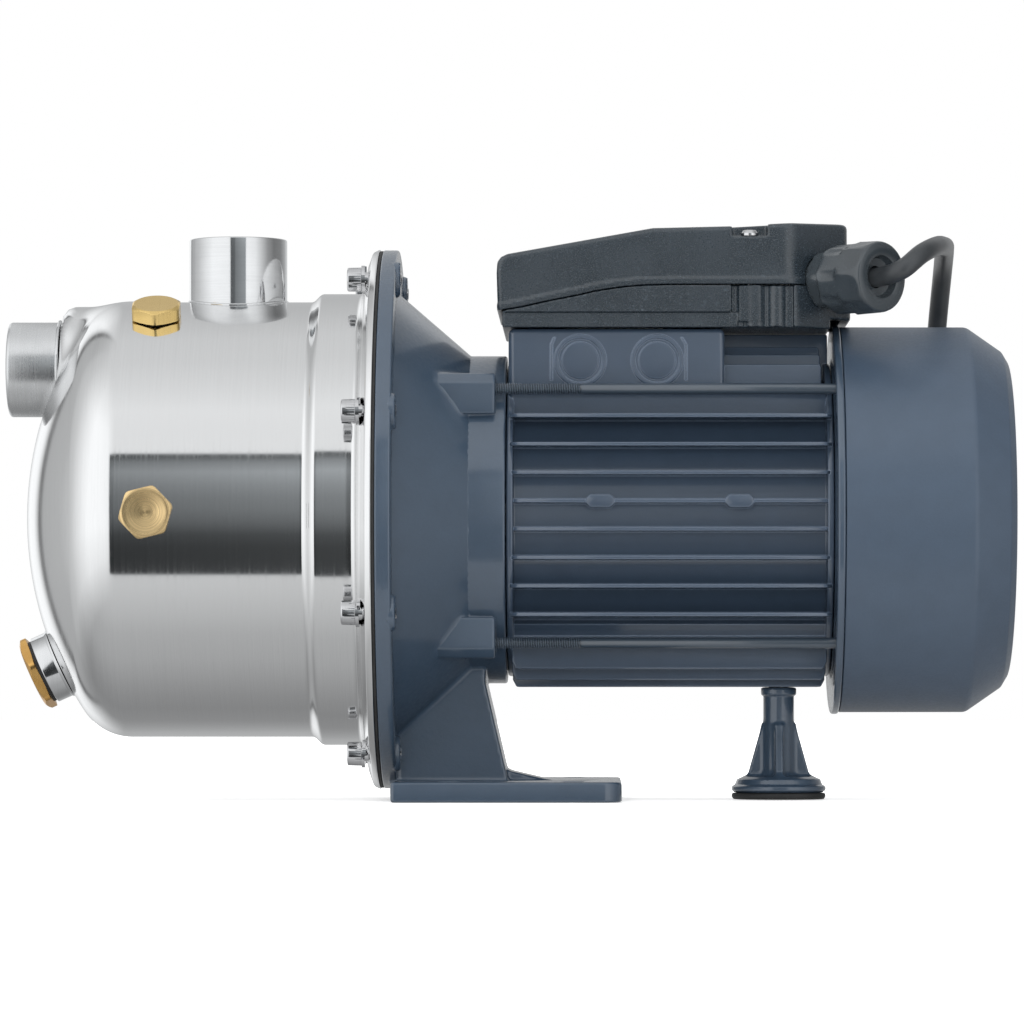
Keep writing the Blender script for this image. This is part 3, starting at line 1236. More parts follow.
# ------------------------------------------------------------------ motor: finned extrusion, end shield, tie rods
def housing():
    parts = []
    core = lathe(
        "core",
        [(0, 54.3, 0.3), (0, 67.2, 1.0), (2.8, 67.2, 0.8), (2.8, 60.0, 0.8), (134.5, 60.0, 0.8), (134.5, 67.2, 0.8), (137.3, 67.2, 1.0),
         (137.3, 54.3, 0.3)],
        M["aluminium_paint"], 144,
    )
    for s in (-1, 1):
        for z in (5.9, 17.8, 29.7, 41.6):
            for k in (-1, 1):
                zc = AZ + k * z
                y0 = math.sqrt(60.0**2 - z * z) - 1.5
                tip = 68.0
                # plan of the fin: its ends are pointed
                out = [(1.4, y0), (1.4, tip - 4.5), (3.6, tip - 0.8), (5.2, tip), (132.4, tip), (134.2, tip - 0.8), (136.4, tip - 4.5), (136.4, y0)]
                o = prism("fin", [(x, s * y) for x, y in out], zc - 1.15, zc + 1.15, "XY", M["aluminium_paint"])
                for v in o.data.vertices:
                    if abs(v.co.y) > (tip - 6.0) * MM:
                        v.co.z = zc * MM + (v.co.z - zc * MM) * 0.66
                bevel(o, 0.4, 3, 40)
                parts.append(o)
        for x in (33.2, 91.5):
            o = prism("pad", [(x, AZ + 4.8), (x + 2.0, AZ + 3.1), (x + 10.3, AZ + 3.1), (x + 12.3, AZ + 4.8), (x + 12.3, AZ + 7.0),
                              (x + 10.3, AZ + 8.7), (x + 2.0, AZ + 8.7), (x, AZ + 7.0)],
                      *( (-68.25, -58) if s < 0 else (58, 68.25)), "XZ", M["aluminium_paint"])
            bevel(o, 0.7, 3, 20)
            parts.append(o)
        # smooth shoulders over the tie rods, then the low fins above and below
        for t in (-1, 1):
            for y, reach in ((12.0, 73.4), (24.0, 69.6), (36.0, 64.6)) if t > 0 else ((12.0, 71.8), (24.0, 68.9), (36.0, 64.2)):
                x0, x1 = (2.0, 135.2) if t < 0 else (90.0, 132.8)
                z0 = math.sqrt(60.0**2 - y * y) - 2
                z1 = reach
                c, d = (1.6, 3.0) if t < 0 else (0.7, 0.7)
                out = [(x0, t * z0), (x0, t * (z1 - d)), (x0 + c, t * z1), (x1 - c, t * z1), (x1, t * (z1 - d)), (x1, t * z0)]
                o = prism("low", [(x, AZ + z) for x, z in out], s * y - 1.5, s * y + 1.5, "XZ", M["aluminium_paint"])
                bevel(o, 0.6, 3, 40)
                parts.append(o)
            # outermost shoulder panel beyond the last side fin
            th = np.linspace(rad(46.5), rad(56.5), 7)
            prof = [(62.6 * math.cos(a), 62.6 * math.sin(a)) for a in th] + [(58.5 * math.cos(a), 58.5 * math.sin(a)) for a in th[::-1]]
            o = prism("shoulder", [(s * y, AZ + t * z) for y, z in prof], 2.0, 135.5, "YZ", M["aluminium_paint"])
            parts.append(o)
    # foot strip, stepped in side view
    o = prism("strip", [(-13.2, AZ - 57), (-13.2, AZ - 68.6), (-11.5, AZ - 70.2), (11.5, AZ - 70.2), (13.2, AZ - 68.6), (13.2, AZ - 57)], 2.6, 134.8, "YZ", M["aluminium_paint"])
    bevel(o, 0.9, 3, 20)
    parts.append(o)
    for s in (-1, 1):
        o = prism("rail", [(s * 13, AZ - 56), (s * 33, AZ - 50), (s * 33, AZ - 61.8), (s * 31.2, AZ - 63.6), (s * 13, AZ - 65.0)], 4.2, 133.6, "YZ", M["aluminium_paint"])
        bevel(o, 0.8, 3, 20)
        parts.append(o)
    boss = lathe("boss", [(52, 0), (52, 8.6), (70.9, 7.4, 1.0), (70.9, 0)], M["aluminium_paint"], 48, (116, 0, AZ), (0, 0, -1))
    parts.append(boss)
    # cast base of the terminal box
    base = prism("tbase", [(0.6, -45.2), (91.8, -45.2), (91.8, 45.2), (0.6, 45.2)], AZ + 40, AZ + 79.3, "XY", M["aluminium_paint"])
    bevel(base, 2.4, 5, 30)
    parts.append(base)
    sill = block("sill", (88.0, -45.2, AZ + 41), (135.0, 45.2, AZ + 55.0), M["aluminium_paint"])
    bevel(sill, 1.2, 3, 30)
    parts.append(sill)
    rib = block("rib", (88.0, -7.5, AZ + 42), (136.6, 7.5, AZ + 79.2), M["aluminium_paint"])
    bevel(rib, 0.8, 3, 20)
    parts.append(rib)
    for x in (30.9, 63.3):
        for s in (-1, 1):
            at = (x, s * 45.2, AZ + 65.8)
            parts.append(lathe("ko", [(-1.5, 8.9, 0), (-1.5, 11.3, 0), (1.15, 11.0, 0.5), (1.15, 9.4, 0.5)], M["aluminium_paint"], 64, at, (0, s, 0)))
            side = -1 if x < 40 else 1
            xr = 18.7 if x < 40 else 75.5
            o = prism("ridge", [(xr - 0.55, AZ + 57.4), (xr + 0.55, AZ + 57.4), (xr + 0.55, AZ + 72.6), (xr + 0.3 - side * 1.6, AZ + 75.6), (xr - 0.8 - side * 1.6, AZ + 75.6),
                                (xr - 0.55, AZ + 72.6)], *((-45.9, -44.6) if s < 0 else (44.6, 45.9)), "XZ", M["aluminium_paint"])
            bevel(o, 0.3, 2, 30)
            parts.append(o)
            parts.append(lathe("kd", [(-1.5, 0), (-1.5, 8.1), (0.95, 7.8, 0.5), (0.95, 0)], M["aluminium_paint"], 64, at, (0, s, 0)))
    for p in parts:
        mod = core.modifiers.new("u", "BOOLEAN")
        mod.operation = "UNION"
        mod.solver = "MANIFOLD"
        mod.object = p
    bpy.context.view_layer.update()
    apply_mods(core, 32)
    for p in parts:
        bpy.data.objects.remove(p, do_unlink=True)
    cuts = [
        cylinder("bore", -1, 138.5, 54.3, ON_SHAFT, (1, 0, 0), 128),
        block("room", (4.5, -41, AZ + 66), (88, 41, AZ + 82), M["aluminium_paint"]),
        cylinder("wire", 50, 68, 5, (15, 0, AZ), (0, 0, 1), 32),
        cylinder("stud", 58, 73, 5.0, (116, 0, AZ), (0, 0, -1), 32),
    ]
    boolean(core, cuts, sharp=32)
    core.name = "motor_housing_extrusion"
    core.data.materials.clear()
    core.data.materials.append(M["aluminium_paint"])
    core.data.polygons.foreach_set("material_index", np.zeros(len(core.data.polygons), np.int32))
    put(core, "pump_set", "aluminium_paint", "motor_housing")


housing()


def tie_rods():
    m = 40
    th = np.arange(m) * 2 * PI / m
    H, R = [], []

    def row(h, r):
        H.append(np.full(m, float(h)))
        R.append(np.broadcast_to(r, (m,)).astype(float))

    row(-20.4, 1.9)
    row(-20, 2.2)
    p = 1.0
    for h in np.arange(-19.6, 31.4, p / 8):
        fade = np.clip((h + 19.6) / 1.0, 0, 1) * np.clip((31.4 - h) / 1.2, 0, 1)
        row(h, 1.9 + 0.6 * thread_wave(h / p - th / (2 * PI), 0.2) * fade)
    row(31.6, 2.3)
    row(142.0, 2.3)
    V, F = revolve(np.array(H), np.array(R), (0, 0, 0), (1, 0, 0))
    rod = mesh("rod", V, F, M["rod_paint"], 50)
    hexr = hex_radius(np.arange(48) * 2 * PI / 48, 8.0, 0.2)
    prof = [(141.7, 3.4), (141.8, 4.4), (142.2, 4.7), (144.8, 4.7), (145.2, 4.35), (145.4, 3.4)]
    Rn = np.array([np.minimum(hexr, r) for _, r in prof])
    V, F = revolve(np.array([h for h, _ in prof]), Rn, (0, 0, 0), (1, 0, 0))
    nut = mesh("nut", V, F, M["bright_steel"], 30)
    one = merge([rod, nut], "tie_rod")
    me = one.data
    bpy.data.objects.remove(one, do_unlink=True)
    order = [(-1, 1), (1, 1), (-1, -1), (1, -1)]
    for i, (sy, sz) in enumerate(order):
        ob = bpy.data.objects.new(f"tie_rod_m5_{i + 1}", me)
        COL.objects.link(ob)
        ob.matrix_world = Matrix.Translation((0, sy * 53.4 * MM, (AZ + sz * 53.4) * MM)) @ Matrix.Rotation(rad(17 * i), 4, "X")
        put(ob, "pump_set", "rod_paint", f"tie_rod_{i + 1}")


tie_rods()


def end_shield():
    ob = lathe(
        "rear_end_shield_casting",
        [(118.6, 17.8, 0.3), (118.6, 22.4, 1.2), (132, 23.5, 1.5), (132, 53.7, 0.5), (137.6, 53.7, 0.3), (137.6, 67.5, 0.6),
         (138.2, 69.5, 0.6), (138.2, 83.4, 0.9), (141.4, 83.4, 0.9), (141.4, 8.6, 0.3), (131.8, 8.6, 0.2), (131.8, 17.8, 0.2)],
        M["casting_paint"], 160,
    )
    boolean(ob, [cylinder("c", 128, 146, 2.9, (0, y, z), (1, 0, 0), 24) for y, z in RODS], sharp=32)
    put(ob, "pump_set", "casting_paint", "rear_end_shield")


end_shield()


def fan_cover():
    P = rounded(
        [(212.2, 0.01), (212.2, 66.9, 2.0), (209.9, 70.8, 2.8), (195.4, 81.1, 4.5), (141.65, 81.2, 0.3), (141.65, 82.65, 0.6), (196.0, 82.6, 5.0),
         (211.0, 72.2, 3.4), (213.8, 67.5, 2.6), (213.8, 0.01)], steps=7)
    inner = [(212.2, r) for r in (18.2, 28.2, 38.2, 48.2, 58.6)]
    outer = [(213.8, r) for r in (58.6, 48.2, 38.2, 28.2, 18.2)]
    P = np.array([tuple(P[0])] + inner + [tuple(p) for p in P[1:-1]] + outer + [tuple(P[-1])])
    V, F = revolve(P[:, 0], np.repeat(P[:, 1][:, None], 192, 1))
    ob = mesh("fan_cover_shell", V, F, M["cover_plastic"], 32)
    cuts = []
    # slots in rings on the back, leaving round ribs
    for ring, (r0, r1, n) in enumerate(((20, 26.5, 12), (30, 36.5, 16), (40, 46.5, 20), (50, 56.5, 24))):
        for i in range(n):
            a0 = 2 * PI * (i + 0.14 + 0.5 * (ring % 2)) / n
            a1 = 2 * PI * (i + 0.86 + 0.5 * (ring % 2)) / n
            t = np.linspace(a0, a1, 6)
            rc = (r1 - r0) / 2
            mid = (r0 + r1) / 2
            pts = [(r1 * math.cos(a), AZ + r1 * math.sin(a)) for a in t]
            end = [(mid * math.cos(a1) + rc * math.cos(a1 + q), AZ + mid * math.sin(a1) + rc * math.sin(a1 + q)) for q in np.linspace(0.3, PI - 0.3, 5)]
            back = [(r0 * math.cos(a), AZ + r0 * math.sin(a)) for a in t[::-1]]
            start = [(mid * math.cos(a0) + rc * math.cos(a0 - q), AZ + mid * math.sin(a0) + rc * math.sin(a0 - q)) for q in np.linspace(PI - 0.3, 0.3, 5)]
            cuts.append(prism("s", pts + end + back + start, 205, 220, "YZ", M["cover_plastic"]))
    tool = merge(cuts, "slots")
    boolean(ob, [tool], sharp=32)
    put(ob, "pump_set", "cover_plastic", "fan_cover")


fan_cover()


# ------------------------------------------------------------------ terminal box
CORNER = 121.8


def plan_d(X, Y, x0, x1, hy, r, corner=0.0):
    """Rounded plan of the box: a rectangle with the corner by the gland cut at 45 degrees, set in by corner."""
    cx, hx = (x0 + x1) / 2, (x1 - x0) / 2
    qx, qy = np.abs(X - cx) - hx + r, np.abs(Y) - hy + r
    d = np.sqrt(np.maximum(qx, 0) ** 2 + np.maximum(qy, 0) ** 2) + np.minimum(np.maximum(qx, qy), 0) - r
    c = (X - CORNER) * 0.70711 - (Y + 50.0) * 0.70711 + corner
    return smax(d, c, r)


def split_z(X):
    """Height over the shaft of the joint between frame and lid."""
    return np.interp(X, [-5.1, 5.8, 18, 30.7, 37, 43.8, 50, 56.9, 70], [86.2, 88.0, 90.7, 93.2, 94.7, 95.8, 96.6, 97.2, 97.5])


def frame_d(X, Y, Z):
    z = Z - AZ
    d = plan_d(X, Y, -2.0, 145.8, 49.5, 2.4, 0.4)
    d = smax(d, 79.7 - z, 0.9)
    d = smax(d, (z - split_z(X) + 0.1) * 0.95, 0.4)
    # the underside is relieved over the end shield and fan cover
    d = smax(d, -box_d(X, Y, Z, (136.8, -80, 150), (190, 80, AZ + 84.0), 0.5), 1.0)
    ay = np.abs(Y)
    # lower band set in below a ledge, with a small tab at its end
    d = smax(d, -box_d(X, ay, z, (-20, 48.5, 60), (94.0, 70, 86.0), 0.1), 0.4)
    d = smax(d, -box_d(X, ay, z, (94.0, 48.9, 60), (97.2, 70, 86.6), 0.1), 0.4)
    # deep part: the wall steps in, with upright bosses standing in the recess
    cut = box_d(X, ay, z, (94.6, 46.9, 60), (120.8, 70, 110), 0.3)
    tab = box_d(X, ay, z, (90, 40, 60), (97.2, 48.9, 86.0), 0.2)
    cols = smin(np.hypot(X - 104.6, ay - 44.2) - 5.0, np.hypot(X - 113.8, ay - 45.0) - 4.1, 1.2)
    cols = smin(cols, np.hypot(X - 98.6, ay - 46.6) - 1.5, 0.6)
    cols = np.maximum(cols, np.maximum(79.7 - z, z - 97.4))
    d = smax(d, -smax(smax(cut, -cols, 0.6), -tab, 0.4), 0.7)
    room = plan_d(X, Y, 3.4, 141.8, 45.0, 3.0, 5.0)
    tray = np.maximum(room, np.where(X < 94, 86.8, 82.7) - z)
    d = smax(d, -tray, 0.8)
    d = smax(d, -box_d(X, Y, Z, (4.5, -40, 150), (87.5, 40, 230), 2.0), 0.8)
    for s in (-1, 1):
        post = box_d(X, Y, Z, (97.8, s * 45.2 - 3.8, AZ + 82), (107.0, s * 45.2 + 3.8, AZ + 97.3), 0.5)
        d = smin(d, post, 1.0)
        d = np.maximum(d, -cyl_d(X, Y, Z, (102.4, s * 45.2, AZ), (0, 0, 1), 2.2, 84, 130))
    d = np.maximum(d, -cyl_d(X, Y, Z, GLAND, GAX, 10.2, -20, 4))
    return np.maximum(d, (z - split_z(X) + 0.1))


GLAND = (134.3, -37.5, AZ + 100)
GAX = (math.sqrt(0.5), -math.sqrt(0.5), 0)
LID_TOP = [(-5.1, 100.0), (-3.4, 106.6), (1.2, 110.6), (61.4, 121.5), (94.8, 122.3), (146.8, 125.2)]


def lid_top(X):
    xs = [p[0] for p in LID_TOP]
    zs = [p[1] for p in LID_TOP]
    return np.interp(X, xs, zs)


def lid_d(X, Y, Z):
    z = Z - AZ
    t = np.clip((z - 86.5) / 20.0, 0, 1)
    inset = 0.75 * np.clip((z - split_z(X) - 2.6) / 1.2, 0, 1)
    plan = plan_d(X + 1.6 * t, Y, -5.1, 146.8 + 0.0, 50.0, 3.0) + inset
    side = poly_d(X, z, [(-5.1, 70), (-5.1, 102.5), (-4.3, 107.0), (-2.5, 109.3), (0.2, 110.6), (61.4, 121.5), (94.8, 122.3), (148.5, 125.3), (148.5, 70)])
    side = smax(side, -(X + 5.1), 2.0)
    d = smax(plan, side, 2.6)
    d = smax(d, -(z - split_z(X) - 0.3) * 0.95, 0.7)
    room_side = poly_d(X, z, [(-2.3, 70), (-2.3, 97.5), (-0.4, 105.2), (2.6, 108.0), (61.5, 118.7), (94.8, 119.6), (144.2, 122.4), (144.2, 70)])
    room = smax(plan_d(X + 1.6 * t, Y, -2.4, 143.6, 47.0, 1.5, 3.4), room_side, 2.0)
    d = smax(d, -room, 0.5)
    for s in (-1, 1):
        tower = box_d(X, Y, Z, (94.0, min(s * 40.0, s * 48.4), AZ + 98.2), (110.8, max(s * 40.0, s * 48.4), AZ + 121), 1.0)
        d = smin(d, tower, 0.8)
        notch = box_d(X, Y, Z, (95.0, min(s * 41.2, s * 60), AZ + 118.0), (109.8, max(s * 41.2, s * 60), AZ + 140), 1.0)
        d = smax(d, -notch, 0.8)
        d = np.maximum(d, -cyl_d(X, Y, Z, (102.4, s * 45.2, AZ), (0, 0, 1), 2.2, 80, 130))
    d = np.maximum(d, -cyl_d(X, Y, Z, GLAND, GAX, 10.4, -3.6, 4))
    # open below the gland, so the lid lifts clear
    u = (X - GLAND[0]) * 0.70711 + (Y - GLAND[1]) * 0.70711
    w = (X - GLAND[0]) * 0.70711 - (Y - GLAND[1]) * 0.70711
    saddle = np.maximum(np.maximum(np.abs(u) - 10.4, Z - GLAND[2]), np.abs(w) - 6)
    return np.maximum(d, -saddle)


put(solid("terminal_frame_moulding", frame_d, (-3, -51, AZ + 79), (147, 51, AZ + 98), 0.75, M["box_plastic"]), "pump_set", "box_plastic", "terminal_frame")
put(solid("terminal_lid_moulding", lid_d, (-6, -51, AZ + 85), (148, 51, AZ + 127), 0.95, M["box_plastic"]), "terminal_lid", "box_plastic", "terminal_lid")


def lid_screws():
    for i, s in enumerate((-1, 1)):
        at = (102.4, s * 45.2, AZ)
        m = 40
        th = np.arange(m) * 2 * PI / m
        H, R = [88.0, 88.4], [np.full(m, 1.2), np.full(m, 1.6)]
        for h in np.arange(88.6, 117.6, 0.15):
            H.append(h)
            R.append(1.55 + 0.38 * thread_wave(h / 0.9 - th / (2 * PI), 0.2))
        for h, r in rounded([(118.2, 1.9), (118.2, 3.75, 0.2), (119.3, 3.75, 0.4), (120.7, 2.7, 1.0), (121.0, 0.3)], steps=5):
            H.append(h)
            R.append(np.full(m, r))
        V, F = revolve(np.repeat(np.array(H)[:, None], m, 1), np.array(R), at, (0, 0, 1))
        ob = mesh("s", V, F, M["bright_steel"], 35)
        tools = []
        for q in (0, 1):
            d = block("x", (-0.5, -2.3, AZ + 119.2), (0.5, 2.3, AZ + 123), M["bright_steel"])
            d.matrix_world = Matrix.Translation((at[0] * MM, at[1] * MM, 0)) @ Matrix.Rotation(rad(28 + 90 * q), 4, "Z")
            tools.append(d)
        bpy.context.view_layer.update()
        boolean(ob, tools, sharp=32)
        ob.name = f"lid_screw_cross_{i + 1}"
        put(ob, "terminal_lid", "bright_steel", f"lid_screw_{i + 1}")


lid_screws()


# ------------------------------------------------------------------ gland, cable and plug
def gland():
    m = 144
    th = np.arange(m) * 2 * PI / m
    H, R = [], []

    def row(h, r):
        H.append(np.full(m, float(h)))
        R.append(np.broadcast_to(r, (m,)).astype(float))

    hexo = hex_radius(th, 23.0, 0.5)
    hexi = hex_radius(th, 22.0, 0.5)
    row(-10.4, 4.6)
    row(-10.4, 9.0)
    row(-10.0, 9.5)
    row(-9.7, 9.8)
    row(-9.6, np.minimum(hexi, 11.2))
    row(-9.1, hexi)
    row(-6.1, hexi)
    row(-5.6, np.minimum(hexi, 11.2))
    row(-5.5, 9.8)
    row(0.3, 9.8)
    row(0.32, np.minimum(hexo, 11.6))
    row(0.9, np.minimum(hexo, 12.4))
    row(1.4, hexo)
    row(6.4, hexo)
    row(7.1, np.minimum(hexo, 12.4))
    row(7.6, np.minimum(hexo, 11.7))
    for h in np.arange(7.8, 23.2, 0.2):
        row(h, 9.0 + 0.75 * thread_wave(h / 1.5 - th / (2 * PI)) * np.clip((23.2 - h) / 1.0, 0, 1))
    row(23.6, 8.6)
    row(24.0, 8.2)
    row(24.0, 4.6)
    V, F = revolve(np.array(H), np.array(R), GLAND, GAX, closed=True)
    put(mesh("gland_body_nylon", V, F, M["gland_nylon"], 32), "pump_set", "gland_nylon", "gland_body")
    m = 192
    th = np.arange(m) * 2 * PI / m
    H, R = [], []
    phase = (th + rad(4)) % (PI / 4) - PI / 8
    flat = 1.0 / np.cos(phase)  # an octagon over its flats
    flute = np.exp(-(((np.abs(phase) - PI / 8) / 0.13) ** 2))

    def fl(h, r, depth, groove=0.0):
        row2 = np.minimum(r, (r - depth) * flat) - groove * flute
        H.append(np.full(m, float(h)))
        R.append(np.broadcast_to(row2, (m,)).astype(float))

    fl(8.0, 10.25, 0)
    fl(8.0, 13.6, 0.4)
    fl(8.4, 14.5, 0.7)
    fl(8.9, 15.1, 0.9, 0.5)
    fl(9.6, 15.4, 1.0, 1.2)
    fl(11.0, 15.4, 1.0, 1.5)
    fl(14.0, 15.4, 1.0, 1.5)
    fl(17.5, 15.4, 1.0, 1.4)
    fl(18.6, 15.4, 1.0, 1.1)
    fl(19.4, 15.4, 1.0, 0.3)
    fl(19.9, 15.4, 1.0)
    fl(23.0, 15.3, 1.0)
    fl(26.5, 15.2, 0.9)
    fl(28.5, 15.1, 0.7)
    fl(30.5, 15.0, 0.4)
    fl(31.8, 14.85, 0.1)
    fl(32.6, 14.5, 0)
    fl(33.0, 13.9, 0)
    fl(33.0, 9.6, 0)
    fl(32.7, 9.1, 0)
    fl(31.6, 8.8, 0)
    fl(29.8, 7.8, 0)
    fl(29.2, 5.6, 0)
    fl(29.0, 4.75, 0)
    fl(24.4, 4.75, 0)
    fl(24.4, 9.0, 0)
    for h in np.arange(24.2, 8.6, -0.2):
        H.append(np.full(m, h))
        R.append(9.85 + 0.3 * thread_wave(h / 1.5 - th / (2 * PI)) + 0.1)
    V, F = revolve(np.array(H), np.array(R), GLAND, GAX, closed=True)
    put(mesh("gland_nut_lobed", V, F, M["gland_nylon"], 38), "gland_nut", "gland_nylon", "gland_nut")


gland()
g = np.array(GLAND)
ga = np.array(GAX)
ROUTE = [g + ga * t for t in (-14, 0, 16, 32)] + [
    (165.5, -68, 222.5), (173.4, -64, 229), (180.6, -48, 233.6), (185.6, -20, 236), (188.2, 14, 237.2), (189.2, 42, 231),
    (188.6, 66, 212), (187.2, 84, 184), (185.6, 94, 154), (183.4, 98, 128), (182.2, 98.6, 113), (182.2, 98.6, 101),
]
put(sweep("power_cable_flex", spline(ROUTE, 14), 4.15, M["cable_rubber"], 28), "pump_set", "cable_rubber", "power_cable")


def power_plug():
    at, ax = (182.2, 98.6, 112), (0, 0, -1)
    parts = [lathe(
        "plug",
        [(0, 4.4, 0.3), (0, 6.8, 0.8), (3.0, 6.8, 0.5), (3.0, 5.9, 0.5), (4.6, 5.9, 0.5), (4.6, 7.2, 0.5), (7.4, 7.2, 0.5), (7.4, 6.3, 0.5),
         (9.0, 6.3, 0.5), (9.0, 7.6, 0.5), (12.2, 7.8, 0.5), (16, 8.4, 3), (19, 14.8, 3), (23, 18, 2.5), (38, 18, 1.2), (40, 16.4, 0.8), (40, 4.4, 0.2)],
        M["cable_rubber"], 96, at, ax,
    )]
    for sx in (-9.5, 9.5):
        parts.append(lathe("pin", [(36, 0), (36, 2.4), (57.4, 2.4, 1.2), (58, 0.6), (58, 0)], M["bright_steel"], 32, (at[0] + sx, at[1], at[2]), ax))
    put(merge(parts, "power_plug_moulded"), "pump_set", "cable_rubber", "power_plug")


power_plug()


# ------------------------------------------------------------------ rear foot
def foot_d(X, Y, Z):
    x, y = X - 116.0, Y
    rho = np.sqrt(x * x + y * y)
    d = poly_d(rho, Z, [(-1, 3.4), (18.8, 3.4), (19.8, 4.2), (19.8, 5.2), (18.4, 6.0), (17.6, 8.2), (15.2, 9.2), (-1, 9.4)], 0.5)
    post = extrude_d(rho - 6.6, Z, 5, 47.9, 0.8)
    d = smin(d, post, 3.0)
    collar = extrude_d(rho - 7.6, Z, 44.6, 47.9, 0.7)
    d = smin(d, collar, 0.8)
    for u, w in ((x, y), (y, x)):
        rib = extrude_d(poly_d(np.abs(u), Z, [(-1, 6), (15.8, 6), (13.0, 11.5), (7.2, 32), (-1, 34)]), w, -1.7, 1.7, 0.8)
        d = smin(d, rib, 2.2)
    d = np.maximum(d, -extrude_d(rho - 5.2, Z, 18, 60))
    return np.maximum(d, 2.9 - Z)


put(solid("support_foot_casting", foot_d, (95, -21, 2.5), (137, 21, 48.5), 0.8, M["casting_paint"]), "support_foot", "casting_paint", "support_foot")


def foot_bits():
    m = 48
    th = np.arange(m) * 2 * PI / m
    H, R = [24.0, 24.6], [np.full(m, 3.9), np.full(m, 4.3)]
    for h in np.arange(24.8, 60.0, 0.19):
        H.append(h)
        R.append(4.15 + 0.72 * thread_wave(h / 1.5 - th / (2 * PI)))
    H += [60.3, 60.5]
    R += [np.full(m, 4.2), np.full(m, 3.8)]
    V, F = revolve(np.repeat(np.array(H)[:, None], m, 1), np.array(R), (116, 0, 0), (0, 0, 1))
    put(mesh("foot_stud_m10", V, F, M["bright_steel"], 40), "pump_set", "bright_steel", "foot_stud")
    put(lathe("foot_pad_rubber", [(0.0, 0), (0.0, 19.4, 0.7), (1.2, 20.2, 0.6), (2.7, 20.0, 0.7), (2.7, 0)], M["seal_rubber"], 96, (116, 0, 0), (0, 0, 1)),
        "foot_pad", "seal_rubber", "foot_pad")


foot_bits()

# ------------------------------------------------------------------ inner parts keep their CAD shape, in their own finishes
INNER = {
    "seal_plate": "cast_stainless", "impeller": "cast_stainless", "seal_seat": "carbon", "seal_head": "carbon",
    "diffuser": "dark_polymer", "ejector_body": "dark_polymer", "cooling_fan": "dark_polymer", "ejector_nozzle": "brass",
    "stator_core": "laminated_iron", "rotor_core": "laminated_iron", "winding_front": "winding_copper", "winding_rear": "winding_copper",
    "front_bearing_outer": "bearing_steel", "rear_bearing_outer": "bearing_steel", "front_bearing_inner": "bearing_steel",
    "rear_bearing_inner": "bearing_steel", "front_bearing_balls": "bearing_steel", "rear_bearing_balls": "bearing_steel",
    "shaft": "shaft_steel", "impeller_nut": "bright_steel", "terminal_block": "light_polymer", "capacitor": "light_polymer",
}
for node_name, finish in INNER.items():
    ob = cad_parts[node_name]
    if ob.data.materials:
        for i in range(len(ob.data.materials)):
            ob.data.materials[i] = M[finish]
    else:
        ob.data.materials.append(M[finish])

# ------------------------------------------------------------------ studio
sc = bpy.context.scene
floor = prism("floor", [(-9000, -9000), (9000, -9000), (9000, 9000), (-9000, 9000)], -20, -0.3, "XY", M["light_polymer"])
fm = Mat("studio_floor", (0.93, 0.93, 0.93), 0.0, 0.9)
fm.b.inputs["Specular IOR Level"].default_value = 0.0
# the sheet runs out to white away from the pump, as a sweep of paper does
fx, fy, fz = fm.xyz()[:3]
far = fm.math("SQRT", fm.math("ADD", fm.math("POWER", fm.math("SUBTRACT", fx, 0.0), 2.0), fm.math("POWER", fm.math("MULTIPLY", fy, 1.6), 2.0)))
fade = fm.ramp(far, 0.12, 0.62, 0.0, 1.0)
fade.node.interpolation_type = "SMOOTHSTEP"
seen = fm.n("ShaderNodeLightPath").outputs["Is Camera Ray"]
fm.b.inputs["Emission Color"].default_value = (1, 1, 1, 1)
fm.set("Emission Strength", fm.math("MULTIPLY", fm.math("MULTIPLY_ADD", fade, 0.48, 0.52), seen))
floor.data.materials[0] = fm.m
floor.visible_glossy = False

world = bpy.data.worlds.new("studio")
sc.world = world
world.use_nodes = True
wt = world.node_tree
wt.nodes.clear()
W = Mat.__new__(Mat)
W.t = wt
W._coord = None
out = wt.nodes.new("ShaderNodeOutputWorld")
geo = wt.nodes.new("ShaderNodeTexCoord").outputs["Generated"]
sep = wt.nodes.new("ShaderNodeSeparateXYZ")
wt.links.new(geo, sep.inputs[0])
dx, dy, dz = sep.outputs[:3]
front = W.math("MULTIPLY", dy, -1.0)
phi = W.math("DIVIDE", W.math("ARCTAN2", dz, front), rad(1))  # up and over the shaft line, 0 towards the camera
lon = W.math("DIVIDE", W.math("ARCSINE", dx), rad(1))  # along the shaft line, + to the right


def curve(v, lo, hi, stops):
    """Piecewise linear function; stops are (input, output)."""
    top = max(o for _, o in stops)
    node = wt.nodes.new("ShaderNodeValToRGB")
    cr = node.color_ramp
    cr.interpolation = "LINEAR"
    while len(cr.elements) < len(stops):
        cr.elements.new(0.5)
    for e, (i, o) in zip(cr.elements, stops):
        e.position = (i - lo) / (hi - lo)
        e.color = (o / top, o / top, o / top, 1)
    for i, (e, (x, o)) in enumerate(zip(cr.elements, stops)):
        e.position = (x - lo) / (hi - lo)
    wt.links.new(W.ramp(v, lo, hi, 0.0, 1.0), node.inputs[0])
    bw = wt.nodes.new("ShaderNodeRGBToBW")
    wt.links.new(node.outputs[0], bw.inputs[0])
    return W.math("MULTIPLY", bw.outputs[0], top)


def grey(v):
    c = v / 255
    return ((c + 0.055) / 1.055) ** 2.4 if c > 0.04 else c / 12.92


def box_mask(v, a, b, soft):
    return W.math("MULTIPLY", W.ramp(v, a - soft, a + soft, 0.0, 1.0), W.ramp(v, b - soft, b + soft, 1.0, 0.0))


